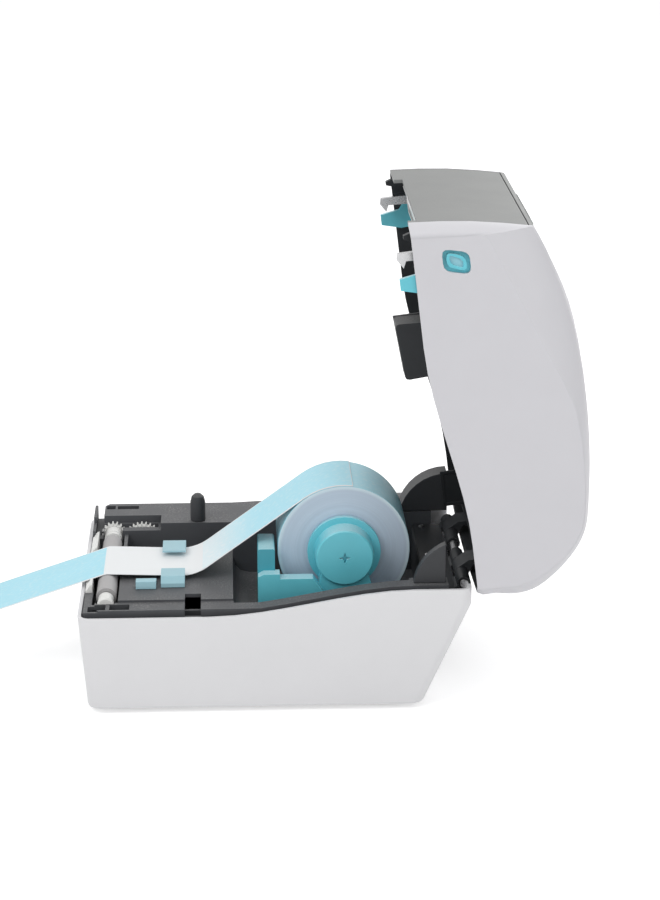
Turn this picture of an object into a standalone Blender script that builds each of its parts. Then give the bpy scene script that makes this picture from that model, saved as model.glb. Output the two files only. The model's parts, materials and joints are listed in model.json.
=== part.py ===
"""A desktop thermal label printer with its clamshell lid open and a label roll loaded.

Metres, +Z up. The front is at -Y and the right-hand side, seen from the front, is at +X.
The origin lies on the floor under the middle of the base. Pieces of the lid are drawn where
they lie with the lid shut, and hang on the lid_hinge empty, which swings them open.
"""

import math

import bmesh
import bpy
from mathutils import Matrix, Vector

# Overall sizes of the housing
BASE_WIDTH = 0.208
BASE_LENGTH = 0.267
HALF = BASE_WIDTH / 2
FRONT = -BASE_LENGTH / 2
REAR = BASE_LENGTH / 2
FOOT_HEIGHT = 0.0035
FRONT_SEAM_Z = 0.0694
REAR_SEAM_Z = 0.0869
SEAM_RISE_START = FRONT + 0.0885
SEAM_RISE_END = REAR - 0.0375
WALL = 0.0026
INNER_HALF = HALF - WALL
CORNER_RADIUS = 0.008
FLOOR_EDGE_RADIUS = 0.0025
FRONT_DRAFT = 0.0055
REAR_FACE_Z = 0.0745
REAR_UNDERCUT = 0.0323

# Clearances
FIT = 0.0003
SEAM_GAP = 0.0030
RUN_GAP = 0.0004

# Lid and hinge
HINGE_Y = REAR - 0.0035
HINGE_Z = 0.0825
HINGE_GAP_HALF = HALF - 0.0120
HINGE_ROD_RADIUS = 0.0030
KNUCKLE_RADIUS = 0.0048
KNUCKLE_LENGTH = 0.0200
GUARD_RADIUS = 0.0360
LID_OPEN_ANGLE = math.radians(83.0)
LID_FRONT = FRONT + 0.0065
LID_BROW_Y = FRONT + 0.0192
LID_BROW_Z = 0.1534
LID_TOP_Z = 0.1770
LID_CROWN = 0.0050
LID_CROWN_RUN = 0.0700
LID_SHOULDER = 0.0160
PANEL_HALF = HALF - LID_SHOULDER
CREASE_FRONT_Z = 0.1210
CREASE_REAR_Z = 0.1668
PANEL_BULGE = 0.0020
PANEL_SHARE = 0.965
EXIT_MOUTH_TOP_Z = 0.0784

# Inner frame
FRAME_HALF = HALF - 0.0070
FRAME_SEAT_Y = FRONT + WALL + 0.0010
FRAME_FRONT_Y = FRONT + 0.0112
FRAME_REAR_Y = REAR - 0.0155
FRAME_BOTTOM_Z = 0.0380
FRAME_WALL = 0.0026
LID_SEAT_Z = FRONT_SEAM_Z + 0.0022
FAR_RAIL_Z = 0.0830
GEAR_RECESS_Z = FAR_RAIL_Z - 0.0055
RAIL_REAR_Z = REAR_SEAM_Z + 0.0026
NEAR_SHELF_Z = FRONT_SEAM_Z + 0.0034
NEAR_RAIL_LIFT = 0.0010
BAY_NEAR_X = FRAME_HALF - 0.0150
BAY_FAR_X = 0.0450 - FRAME_HALF
BAY_MIDDLE_X = (BAY_NEAR_X + BAY_FAR_X) / 2
KNUCKLE_SPACING = BAY_NEAR_X - BAY_FAR_X - 0.0540
ROLL_BAY_NEAR_X = BAY_NEAR_X + 0.0035
WELL_Z = 0.0560
SHELF_Z = 0.0675
DECK_Z = 0.0745
BAY_FLOOR_Z = 0.0440
BAY_REAR_Y = REAR - 0.0295
LEDGE_Z = 0.0770
POST_TOP_Z = 0.1040

# Platen and its gears
PLATEN_Y = FRONT + 0.0185
PLATEN_Z = 0.0715
PLATEN_RADIUS = 0.0070
PLATEN_LENGTH = BAY_NEAR_X - BAY_FAR_X - 0.0260
SHAFT_RADIUS = 0.0040
NEAR_BEARING_RADIUS = 0.0058
FAR_BEARING_RADIUS = 0.0065
GEAR_MODULE = 0.0010
PLATEN_TEETH = 16
IDLER_TEETH = 28
PINION_TEETH = 12
GEAR_X = BAY_FAR_X - 0.0140
GEAR_WIDTH = 0.0050
IDLER_ANGLE = math.radians(-17.2)
PINION_ANGLE = math.radians(-45.0)
MOTOR_RADIUS = 0.0170
WELL_FRONT_Y = PLATEN_Y + 0.0110

# Label media
MEDIA_X = BAY_MIDDLE_X - 0.0010
MEDIA_WIDTH = 0.0570
MEDIA_NEAR = MEDIA_X + MEDIA_WIDTH / 2
MEDIA_FAR = MEDIA_X - MEDIA_WIDTH / 2
PLATEN_NEAR = MEDIA_X + PLATEN_LENGTH / 2
PLATEN_FAR = MEDIA_X - PLATEN_LENGTH / 2
BEZEL_NEAR_X = MEDIA_NEAR + 0.0160
WELL_EDGE_X = MEDIA_FAR - 0.0035
ROLL_Y = REAR - 0.0842
ROLL_Z = 0.0950
ROLL_RADIUS = 0.0460
DECK_REAR_Y = ROLL_Y - 0.0773
CORE_RADIUS = 0.0150
CORE_BORE = 0.0127
STRIP_THICKNESS = 0.0004
STRIP_BEND_Y = FRONT + 0.0795
STRIP_BEND_LIFT = 0.0025
STRIP_BEND_RADIUS = 0.0320
STRIP_REACH_Y = FRONT - 0.0860
STRIP_DROOP = math.radians(18.6)

# Roll holders, guides and sensor
HOLDER_FLANGE_RADIUS = 0.0255
HOLDER_HUB_RADIUS = 0.0200
HOLDER_FLANGE = 0.0050
HOLDER_HUB_LENGTH = 0.0130
HOLDER_BOSS_LENGTH = 0.0090
GUIDE_Y = FRONT + 0.0640
GUIDE_LENGTH = 0.0165
GUIDE_HEIGHT = 0.0072
GUIDE_LIP = 0.0195
SENSOR_Y = FRONT + 0.0455
SENSOR_LENGTH = 0.0140

# Print head
HEAD_Z = 0.0797
HEAD_HEIGHT = 0.0056
HEAD_FRONT_Y = PLATEN_Y - 0.0055
HEAD_DEPTH = 0.0160
CARRIER_HEIGHT = 0.0130
BRACKET_Z = 0.1040
BRACKET_THICKNESS = 0.0025

# Lid liner and ribbon parts
LINER_HALF = INNER_HALF - FIT
LINER_WALL = 0.0026
LINER_BOTTOM_Z = 0.0945
LINER_FRONT_Y = FRONT + 0.0335
LINER_REAR_Y = REAR - 0.0125
LATCH_POCKET = 0.0041
LATCH_POCKET_Y = FRONT + 0.0575
HUB_RADIUS = 0.0080
HUB_LENGTH = 0.0185
SUPPLY_HUB_Z = 0.1220
TAKEUP_HUB_Z = 0.1130
CARRIAGE_X = BAY_FAR_X + 0.0020
CARRIAGE_WIDTH = 0.0260
SIDE_PLATE_X = BAY_NEAR_X - 0.0040

# Latches
LATCH_PIVOT_Y = FRONT + 0.0415
LATCH_PIVOT_Z = 0.1160
LATCH_PAD_Y = FRONT + 0.0328
LATCH_PAD_Z = 0.0998
LATCH_WINDOW_LENGTH = 0.0150
LATCH_WINDOW_HEIGHT = 0.0178
LATCH_WINDOW_LEAN = 0.0022
LATCH_TAIL_Y = FRONT + 0.0450
LATCH_TAIL_Z = 0.0620
HOOK_X = FRAME_HALF - 0.0090
HOOK_WIDTH = 0.0040
HOOK_Y = FRONT + 0.0290
LUG_Y = FRONT + 0.0157
LUG_DEPTH = 0.0050

# Buttons on the lid's brow
BUTTON_RADIUS = 0.0056
BUTTON_SPACING = 0.0220
BUTTON_PROUD = 0.0006
BUTTON_DEPTH = 0.0080

# Ports at the back
PORT_FAR_X = 0.0440 - HALF
PORT_NEAR_X = PORT_FAR_X + 0.1000
PORT_LOW_Z = 0.0110
PORT_HIGH_Z = 0.0370
PORT_PLATE_Y = REAR - 0.0365
DC_X = PORT_FAR_X + 0.0300
USB_X = PORT_FAR_X + 0.0680
PORT_Z = 0.0240
DC_SIZE = 0.0110
USB_SIZE = 0.0120

# Finishes: colour, roughness, metallic
FINISHES = {
    "white_shell": ((0.72, 0.72, 0.74), 0.45, 0.0),
    "grey_panel": ((0.36, 0.37, 0.36), 0.50, 0.0),
    "dark_frame": ((0.14, 0.14, 0.15), 0.60, 0.0),
    "black_inner": ((0.03, 0.03, 0.035), 0.60, 0.0),
    "teal_touch": ((0.08, 0.36, 0.42), 0.40, 0.0),
    "pale_teal": ((0.42, 0.68, 0.72), 0.40, 0.0),
    "label_blue": ((0.45, 0.78, 0.88), 0.55, 0.0),
    "core_card": ((0.55, 0.42, 0.28), 0.80, 0.0),
    "steel": ((0.60, 0.60, 0.62), 0.30, 1.0),
    "rubber_grey": ((0.62, 0.62, 0.60), 0.70, 0.0),
    "rubber_black": ((0.04, 0.04, 0.04), 0.80, 0.0),
    "nylon_white": ((0.82, 0.82, 0.80), 0.45, 0.0),
    "board_green": ((0.04, 0.20, 0.09), 0.50, 0.0),
    "lamp_clear": ((0.55, 0.80, 0.55), 0.20, 0.0),
}


def clear_scene():
    for item in list(bpy.data.objects):
        bpy.data.objects.remove(item, do_unlink=True)


def add_object(name, bm):
    """Make an object of a bmesh, with its faces turned outwards."""
    bmesh.ops.remove_doubles(bm, verts=bm.verts, dist=1e-7)
    bmesh.ops.recalc_face_normals(bm, faces=bm.faces)
    mesh = bpy.data.meshes.new(name)
    bm.to_mesh(mesh)
    bm.free()
    item = bpy.data.objects.new(name, mesh)
    bpy.context.scene.collection.objects.link(item)
    return item


def paint(item, finish):
    """Give an object its own material."""
    colour, roughness, metallic = FINISHES[finish]
    material = bpy.data.materials.new(item.name)
    material.use_nodes = True
    shader = material.node_tree.nodes["Principled BSDF"]
    shader.inputs["Base Color"].default_value = (*colour, 1.0)
    shader.inputs["Roughness"].default_value = roughness
    shader.inputs["Metallic"].default_value = metallic
    item.data.materials.clear()
    item.data.materials.append(material)
    return item


def smooth_shade(item, angle=35.0):
    item.data.shade_smooth()
    item.data.set_sharp_from_angle(angle=math.radians(angle))
    return item


def along(axis, first, second, distance):
    """A point from an outline's two numbers and its distance along the axis."""
    if axis == "X":
        return Vector((distance, first, second))
    if axis == "Y":
        return Vector((first, distance, second))
    return Vector((first, second, distance))


def prism(name, outline, low, high, axis="X"):
    """Extrude an outline along an axis: (y, z) along X, (x, z) along Y, (x, y) along Z."""
    bm = bmesh.new()
    ring = [bm.verts.new(along(axis, a, b, low)) for a, b in outline]
    face = bm.faces.new(ring)
    grown = bmesh.ops.extrude_face_region(bm, geom=[face])
    moved = [v for v in grown["geom"] if isinstance(v, bmesh.types.BMVert)]
    bmesh.ops.translate(bm, verts=moved, vec=along(axis, 0.0, 0.0, high - low))
    return add_object(name, bm)


def box(name, x_low, x_high, y_low, y_high, z_low, z_high):
    return prism(name, rectangle(y_low, y_high, z_low, z_high), x_low, x_high)


def turned(name, profile, first, second, axis="X", steps=24):
    """Spin a profile of (along, radius) points about an axis through the given point."""
    bm = bmesh.new()
    ring = [bm.verts.new(along(axis, first + r, second, a)) for a, r in profile]
    hollow = min(r for _, r in profile) > 0
    pairs = list(zip(ring, ring[1:] + ring[:1])) if hollow else list(zip(ring, ring[1:]))
    edges = [bm.edges.new(pair) for pair in pairs]
    centre = along(axis, first, second, 0.0)
    direction = along(axis, 0.0, 0.0, 1.0)
    bmesh.ops.spin(bm, geom=ring + edges, cent=centre, axis=direction, angle=2 * math.pi,
                   steps=steps, use_merge=True, use_duplicate=False)
    return smooth_shade(add_object(name, bm))


def hide_tool(body, tool):
    tool.parent = body
    tool.hide_render = True
    tool.display_type = "WIRE"


def boolean(body, tools, operation):
    for tool in tools:
        hide_tool(body, tool)
        modifier = body.modifiers.new(tool.name, "BOOLEAN")
        modifier.operation = operation
        modifier.solver = "EXACT"
        modifier.object = tool
    return body


def carve(body, *tools):
    return boolean(body, tools, "DIFFERENCE")


def fuse(body, *tools):
    return boolean(body, tools, "UNION")


def rectangle(a_low, a_high, b_low, b_high):
    return [(a_low, b_low), (a_high, b_low), (a_high, b_high), (a_low, b_high)]


def circle(first, second, radius, steps=20):
    turn = 2 * math.pi / steps
    return [(first + radius * math.cos(i * turn),
             second + radius * math.sin(i * turn)) for i in range(steps)]


def arc(first, second, radius, start, end, steps):
    """Points along an arc, with its angles in degrees."""
    points = []
    for i in range(steps + 1):
        angle = math.radians(start + (end - start) * i / steps)
        points.append((first + radius * math.cos(angle), second + radius * math.sin(angle)))
    return points


def fillet(points, radius, steps=3):
    """Round the corners of a closed outline."""
    rounded = []
    count = len(points)
    for i, point in enumerate(points):
        here = Vector(point)
        back = Vector(points[i - 1]) - here
        ahead = Vector(points[(i + 1) % count]) - here
        reach = min(radius, 0.45 * back.length, 0.45 * ahead.length)
        start = here + back.normalized() * reach
        end = here + ahead.normalized() * reach
        for k in range(steps + 1):
            t = k / steps
            spot = start * (1 - t) ** 2 + here * 2 * t * (1 - t) + end * t ** 2
            rounded.append((spot.x, spot.y))
    return rounded


def smooth_curve(points, steps):
    """A Catmull-Rom curve through a few points."""
    spots = [Vector(p) for p in points]
    ends = [2 * spots[0] - spots[1]] + spots + [2 * spots[-1] - spots[-2]]
    curve = []
    for a, b, c, d in zip(ends, ends[1:], ends[2:], ends[3:]):
        for k in range(steps):
            t = k / steps
            spot = 0.5 * (2 * b + (c - a) * t + (2 * a - 5 * b + 4 * c - d) * t ** 2
                          + (3 * b - a - 3 * c + d) * t ** 3)
            curve.append((spot.x, spot.y))
    curve.append(tuple(spots[-1]))
    return curve


def thick_path(points, thickness):
    """The outline of an open path, thickened to its right-hand side."""
    spots = [Vector(p) for p in points]
    other = []
    for i, spot in enumerate(spots):
        runs = []
        if i > 0:
            runs.append((spot - spots[i - 1]).normalized())
        if i < len(spots) - 1:
            runs.append((spots[i + 1] - spot).normalized())
        normals = [Vector((run.y, -run.x)) for run in runs]
        mean = sum(normals, Vector((0.0, 0.0))).normalized()
        stretch = 1.0 / max(mean.dot(normals[0]), 0.3)
        offset = spot + mean * thickness * stretch
        other.append((offset.x, offset.y))
    return [tuple(p) for p in spots] + other[::-1]


def seam_z(y):
    """Height of the seam between base and lid at a depth y."""
    t = (y - SEAM_RISE_START) / (SEAM_RISE_END - SEAM_RISE_START)
    t = min(max(t, 0.0), 1.0)
    return FRONT_SEAM_Z + (REAR_SEAM_Z - FRONT_SEAM_Z) * t * t * (3 - 2 * t)


def seam_points(start, end, lift=0.0, steps=8):
    """The seam from start to end, with its level ends left as single runs."""
    span = SEAM_RISE_END - SEAM_RISE_START
    middle = [SEAM_RISE_START + span * i / steps for i in range(steps + 1)]
    depths = [start] + [y for y in middle if start < y < end] + [end]
    return [(y, seam_z(y) + lift) for y in depths]


def pivot(name, place, parent=None):
    """An empty on a joint's axis. place is where it lies with the lid shut."""
    empty = bpy.data.objects.new(name, None)
    bpy.context.scene.collection.objects.link(empty)
    empty["place"] = place
    empty.location = Vector(place)
    if parent:
        empty.parent = parent
        empty.location = Vector(place) - Vector(parent["place"])
    return empty


def hang(item, empty):
    """Carry a piece on an empty, with the piece drawn where it lies with the lid shut."""
    item.parent = empty
    item.location = -Vector(empty["place"])
    return item


def rail_line():
    """Top line of the frame's far rail."""
    middle_z = FAR_RAIL_Z + 0.55 * (RAIL_REAR_Z - FAR_RAIL_Z)
    return [(FRAME_SEAT_Y, FAR_RAIL_Z), (DECK_REAR_Y, FAR_RAIL_Z), (ROLL_Y, middle_z),
            (FRAME_REAR_Y, RAIL_REAR_Z)]


def rail_z(y):
    """Height of the far rail's top at a depth y."""
    line = rail_line()
    for (y0, z0), (y1, z1) in zip(line, line[1:]):
        if y0 <= y <= y1:
            return z0 + (z1 - z0) * (y - y0) / (y1 - y0)
    return RAIL_REAR_Z


def near_rail_line(end):
    """Top line of the frame's near side: a level shelf, then a rail just above the seam."""
    rising = seam_points(SEAM_RISE_START, end, NEAR_RAIL_LIFT)
    return [(FRONT, NEAR_SHELF_Z)] + [(y, z) for y, z in rising if z > NEAR_SHELF_Z]


def bevel_edges(item, wanted, radius, segments):
    """Round the edges of a mesh that a test picks out."""
    bm = bmesh.new()
    bm.from_mesh(item.data)
    edges = [e for e in bm.edges if wanted(*(v.co for v in e.verts))]
    bmesh.ops.bevel(bm, geom=edges, offset=radius, segments=segments, profile=0.5, affect="EDGES")
    bm.to_mesh(item.data)
    bm.free()


def upright_edge(a, b):
    """Whether an edge runs up one of the housing's four corners."""
    front = max(a.y, b.y) < FRONT + FRONT_DRAFT + 2 * WALL
    rear = min(a.y, b.y) > REAR - REAR_UNDERCUT - 2 * WALL
    return abs(a.x - b.x) < 1e-6 and abs(a.z - b.z) > 0.005 and (front or rear)


def base_housing():
    outline = [(FRONT + FRONT_DRAFT, FOOT_HEIGHT)] + seam_points(FRONT, REAR)
    outline += [(REAR, REAR_FACE_Z), (REAR - REAR_UNDERCUT, FOOT_HEIGHT)]
    body = prism("base_housing", outline, -HALF, HALF)
    bevel_edges(body, upright_edge, CORNER_RADIUS, 4)
    bevel_edges(body, lambda a, b: max(a.z, b.z) < FOOT_HEIGHT + 1e-5, FLOOR_EDGE_RADIUS, 2)

    top = REAR_SEAM_Z + WALL
    slope = REAR_UNDERCUT / (REAR_FACE_Z - FOOT_HEIGHT)
    hollow = [(FRONT + FRONT_DRAFT + WALL, FOOT_HEIGHT + WALL), (FRONT + WALL, FRONT_SEAM_Z),
              (FRONT + WALL, top)]
    hollow += [(REAR - WALL, top), (REAR - WALL, REAR_FACE_Z)]
    hollow += [(REAR - REAR_UNDERCUT + slope * WALL - WALL * 1.1, FOOT_HEIGHT + WALL)]
    cavity = prism("housing_cavity", hollow, -INNER_HALF, INNER_HALF)
    bevel_edges(cavity, upright_edge, CORNER_RADIUS - WALL, 4)
    hinge_gap = box("housing_hinge_gap", -HINGE_GAP_HALF, HINGE_GAP_HALF,
                    HINGE_Y - KNUCKLE_RADIUS - 2 * WALL, REAR + WALL,
                    REAR_FACE_Z - FIT, top)
    window = box("housing_port_window", PORT_FAR_X, PORT_NEAR_X, PORT_PLATE_Y, REAR + WALL, PORT_LOW_Z,
                 PORT_HIGH_Z)
    carve(body, cavity, hinge_gap, window)
    for i in range(7):
        x = 0.020 * (i - 3)
        vent = prism(f"housing_vent_{i}", fillet(rectangle(x, x + 0.004, FRONT + 0.0585, FRONT + 0.1135),
                                                 0.0018),
                     -WALL, FOOT_HEIGHT + 2 * WALL, "Z")
        carve(body, vent)
    return paint(smooth_shade(body), "white_shell")


def foot_places():
    y_front = FRONT + 0.030
    y_rear = REAR - REAR_UNDERCUT - 0.020
    x_side = HALF - 0.022
    return [(x, y) for y in (y_front, y_rear) for x in (-x_side, x_side)]


def rubber_feet():
    for i, (x, y) in enumerate(foot_places()):
        rim = FOOT_HEIGHT - FIT
        profile = [(0.0, 0.0), (0.0, 0.0078), (0.0008, 0.0086), (rim, 0.0086), (rim, 0.0)]
        paint(turned(f"rubber_foot_{i + 1}", profile, x, y, "Z", 20), "rubber_black")


def frame_hollows(body):
    """Hollow the frame out from below, so that its walls stay thin."""
    low = FRAME_BOTTOM_Z - 0.01
    rail_end = BAY_REAR_Y - FRAME_WALL
    front_low = FRAME_SEAT_Y + 0.003 + FRAME_WALL
    front_high = FRAME_FRONT_Y + 2 * FRAME_WALL
    ceiling = LID_SEAT_Z - FRAME_WALL
    far = [(front_low, low), (front_low, ceiling), (front_high, ceiling),
           (front_high, GEAR_RECESS_Z - FRAME_WALL),
           (DECK_REAR_Y, GEAR_RECESS_Z - FRAME_WALL), (rail_end, rail_z(rail_end) - FRAME_WALL), (rail_end,
                                                                                                  low)]
    far_under = prism("frame_far_hollow", far, FRAME_WALL - FRAME_HALF, BAY_FAR_X - FRAME_WALL)
    near = rectangle(front_low, DECK_REAR_Y - FRAME_WALL, low, ceiling)
    near_under = prism("frame_near_hollow", near, BAY_NEAR_X + FRAME_WALL, FRAME_HALF - FRAME_WALL)
    wall = [(DECK_REAR_Y, low), (DECK_REAR_Y, ceiling), (rail_end, seam_z(rail_end) - FRAME_WALL),
            (rail_end, low)]
    wall_under = prism("frame_bay_wall_hollow", wall, ROLL_BAY_NEAR_X + FRAME_WALL, FRAME_HALF - FRAME_WALL)
    deck = rectangle(WELL_FRONT_Y, DECK_REAR_Y - FRAME_WALL, low, DECK_Z - FRAME_WALL)
    under_deck = prism("frame_deck_hollow", deck, WELL_EDGE_X, BAY_NEAR_X)
    well = rectangle(WELL_FRONT_Y, DECK_REAR_Y - FRAME_WALL, low, WELL_Z - FRAME_WALL)
    under_well = prism("frame_well_hollow", well, BAY_FAR_X, WELL_EDGE_X - FRAME_WALL)
    bay = rectangle(DECK_REAR_Y + 0.012, rail_end, low, BAY_FLOOR_Z - FRAME_WALL)
    under_bay = prism("frame_bay_hollow", bay, BAY_FAR_X, BAY_NEAR_X)
    ledge = [(BAY_REAR_Y + FRAME_WALL, LEDGE_Z - FRAME_WALL), (FRAME_REAR_Y + WALL, LEDGE_Z - FRAME_WALL),
             (FRAME_REAR_Y + WALL, REAR_FACE_Z - 0.012), (BAY_REAR_Y + FRAME_WALL, FRAME_BOTTOM_Z + 0.004)]
    under_ledge = prism("frame_ledge_hollow", ledge, BAY_FAR_X, BAY_NEAR_X)
    carve(body, far_under, near_under, wall_under, under_deck, under_well, under_bay, under_ledge)


def gear_reach(teeth):
    return GEAR_MODULE * (teeth + 2) / 2 + RUN_GAP


def frame_slots(body, high):
    """Bearing seats, slots for the lid's lugs and hooks, and slots that the gears show through."""
    for tag, low_x, high_x, reach in (("near", BAY_NEAR_X - 0.0020, BAY_NEAR_X + 0.0022,
                                       NEAR_BEARING_RADIUS + FIT),
                                      ("far", BAY_FAR_X - 0.0105, BAY_FAR_X + 0.0020,
                                       FAR_BEARING_RADIUS + FIT)):
        seat = arc(PLATEN_Y, PLATEN_Z, reach, 180, 360, 6) + [(PLATEN_Y + reach, high),
                                                              (PLATEN_Y - reach, high)]
        carve(body, prism(f"frame_{tag}_bearing_seat", seat, low_x, high_x))
    low = PLATEN_Z - 0.0060
    inner = HOOK_X - 0.0032
    near_lug = rectangle(HOOK_X - 0.0026, HOOK_X + 0.0072, LUG_Y - 0.0090, LUG_Y + 0.0032)
    near_hook = rectangle(HOOK_X - 0.0026, HOOK_X + 0.0072, HOOK_Y - 0.0075, HOOK_Y + 0.0060)
    far_lug = rectangle(-HOOK_X - 0.0045, -inner, LUG_Y - 0.0032, LUG_Y + 0.0032)
    far_hook = rectangle(-HOOK_X - 0.0038, -inner, HOOK_Y - 0.0085, HOOK_Y + 0.0072)
    for tag, plan in (("near_lug", near_lug), ("near_hook", near_hook), ("far_lug", far_lug),
                      ("far_hook", far_hook)):
        carve(body, prism(f"frame_{tag}_slot", plan, low, high, "Z"))
    idler_y, idler_z = gear_places()[0]
    under = GEAR_RECESS_Z - FRAME_WALL - idler_z
    idler_half = math.sqrt(gear_reach(IDLER_TEETH) ** 2 - under ** 2)
    gear_rear = idler_y + idler_half + 0.0020
    recess = box("frame_gear_recess", GEAR_X - 0.0040, BAY_FAR_X + FIT, FRONT, gear_rear, GEAR_RECESS_Z, high)
    carve(body, recess)
    for tag, y, half in (("platen", PLATEN_Y, gear_reach(PLATEN_TEETH)), ("idler", idler_y, idler_half)):
        slot = rectangle(GEAR_X - 0.0015, GEAR_X + GEAR_WIDTH + 0.0015, y - half, y + half)
        carve(body, prism(f"frame_{tag}_gear_slot", slot, PLATEN_Z - 0.0120, high, "Z"))
    carve(body, box("frame_side_notch", FRAME_HALF - 0.0260, FRAME_HALF + WALL, FRONT + 0.0725,
                    FRONT + 0.0835,
                    PLATEN_Z - 0.0040, high))


def inner_frame():
    outline = [(FRAME_SEAT_Y + 0.003, FRAME_BOTTOM_Z), (FRAME_SEAT_Y, SHELF_Z)] + rail_line()
    outline += [(FRAME_REAR_Y, REAR_FACE_Z - 0.012), (BAY_REAR_Y + FRAME_WALL, FRAME_BOTTOM_Z)]
    body = prism("inner_frame", outline, -FRAME_HALF, FRAME_HALF)

    # The bay for the roll, the trough for the platen and the well beside the deck
    high = RAIL_REAR_Z + 0.02
    ahead = FRONT - WALL
    trough_front = PLATEN_Y - PLATEN_RADIUS - 0.0025
    trough_rear = PLATEN_Y + PLATEN_RADIUS + 0.0015
    trough_z = PLATEN_Z - PLATEN_RADIUS - 0.0035
    cut = [(trough_front, trough_z), (trough_rear, trough_z), (trough_rear, DECK_Z), (DECK_REAR_Y, DECK_Z)]
    cut += arc(DECK_REAR_Y + 0.012, BAY_FLOOR_Z + 0.012, 0.012, 180, 270, 3)
    cut += [(BAY_REAR_Y, BAY_FLOOR_Z), (BAY_REAR_Y, LEDGE_Z), (REAR, LEDGE_Z), (REAR, high),
            (trough_front, high)]
    bay = prism("frame_bay", cut, BAY_FAR_X, BAY_NEAR_X)
    wider = box("frame_bay_widening", BAY_NEAR_X - FIT, ROLL_BAY_NEAR_X, DECK_REAR_Y + FIT,
                BAY_REAR_Y - 0.012,
                BAY_FLOOR_Z + FIT, high)
    well = box("frame_well", BAY_FAR_X, WELL_EDGE_X - FRAME_WALL, WELL_FRONT_Y, DECK_REAR_Y + 0.006,
               WELL_Z, high)
    bezel_seat = box("frame_bezel_seat", BAY_FAR_X, BEZEL_NEAR_X + FIT, ahead, trough_front + FIT,
                     SHELF_Z - 0.0002, high)
    carve(body, bay, wider, well, bezel_seat)

    # The near side is a low shelf; the lid's front edge drops into a seat with a lip before the far rail
    near_line = near_rail_line(FRAME_REAR_Y)
    shelf = near_line + [(REAR, near_line[-1][1]), (REAR, high), (FRONT, high)]
    near_top = prism("frame_near_top", shelf, BAY_NEAR_X - FIT, FRAME_HALF + WALL)
    near_front = box("frame_near_front", BEZEL_NEAR_X, BAY_NEAR_X, ahead, trough_front + FIT, NEAR_SHELF_Z,
                     high)
    out = FRAME_HALF + WALL
    corner = HOOK_X + 0.0045
    seat = [(-out, ahead), (out, ahead), (out, FRAME_FRONT_Y + 0.0048), (corner, FRAME_FRONT_Y),
            (-corner, FRAME_FRONT_Y), (-out, FRAME_FRONT_Y + 0.0048)]
    lid_seat = prism("frame_lid_seat", seat, LID_SEAT_Z, high, "Z")
    carve(body, near_top, near_front, lid_seat)
    fuse(body, box("frame_far_lip", -FRAME_HALF, BAY_FAR_X, FRAME_SEAT_Y, LID_FRONT - 0.0008,
                   LID_SEAT_Z - 0.001,
                   FAR_RAIL_Z - 0.001))
    frame_hollows(body)
    frame_slots(body, high)
    return paint(body, "dark_frame")


def front_bezel():
    low = SHELF_Z + FIT
    front = FRAME_SEAT_Y
    rear = PLATEN_Y - PLATEN_RADIUS - 0.0030
    sill = SHELF_Z + 0.0056
    body = box("front_bezel", BAY_FAR_X + FIT, BEZEL_NEAR_X, front, rear, low, sill)
    horn = [(front, sill - 0.001), (rear, sill - 0.001), (rear, sill + 0.0045),
            (front + 0.0030, sill + 0.0035)]
    fuse(body, prism("bezel_near_end", horn, MEDIA_NEAR + 0.0030, BEZEL_NEAR_X))
    fuse(body, prism("bezel_far_end", horn, BAY_FAR_X + FIT, MEDIA_FAR - 0.0030))
    return paint(body, "nylon_white")


def guide_post():
    x = BAY_FAR_X - 0.0060
    y = FRONT + 0.0805
    low = rail_z(y + 0.0055) + FIT
    top = POST_TOP_Z
    profile = [(low, 0.0), (low, 0.0055), (top - 0.0065, 0.0055), (top - 0.0025, 0.0045),
               (top - 0.0005, 0.0022),
               (top, 0.0)]
    return paint(turned("lid_guide_post", profile, x, y, "Z", 16), "black_inner")


def guard_outline(low, rear):
    start = math.degrees(math.acos((rear - HINGE_Y) / GUARD_RADIUS))
    end = 180.0 - math.degrees(math.asin((low - HINGE_Z) / GUARD_RADIUS))
    return arc(HINGE_Y, HINGE_Z, GUARD_RADIUS, start, end, 8) + [(rear, low)]


def hinge_guards():
    """Two rounded guards concentric with the hinge, standing on the side rails."""
    near_rear = FRAME_REAR_Y - 0.0020
    near_low = seam_z(near_rear) + NEAR_RAIL_LIFT + FIT
    near = prism("near_hinge_guard", guard_outline(near_low, near_rear), ROLL_BAY_NEAR_X + 0.0005,
                 FRAME_HALF - 0.0040)
    far_outline = guard_outline(RAIL_REAR_Z + FIT, HINGE_Y - 0.0005)
    far = prism("far_hinge_guard", far_outline, BAY_FAR_X - 0.0180, BAY_FAR_X)
    for item in (near, far):
        paint(smooth_shade(item, 25), "dark_frame")


def knuckle_spans():
    """Across the hinge: the lid's two knuckles, and the base's on both sides of each."""
    lid, base = [], []
    for side in (-1, 1):
        centre = BAY_MIDDLE_X - 0.0050 + side * KNUCKLE_SPACING / 2
        low = centre - KNUCKLE_LENGTH / 2
        high = centre + KNUCKLE_LENGTH / 2
        lid.append((low, high))
        base.append((max(low - KNUCKLE_LENGTH, BAY_FAR_X + FIT), low - RUN_GAP))
        base.append((high + RUN_GAP, min(high + KNUCKLE_LENGTH, BAY_NEAR_X - FIT)))
    return lid, base


def knuckle(name, low_x, high_x, tail):
    """A hinge knuckle round the rod, with a tail that reaches the piece it grows from."""
    barrel = arc(HINGE_Y, HINGE_Z, KNUCKLE_RADIUS, *tail[0], 8)
    return prism(name, barrel + tail[1], low_x, high_x)


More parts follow.
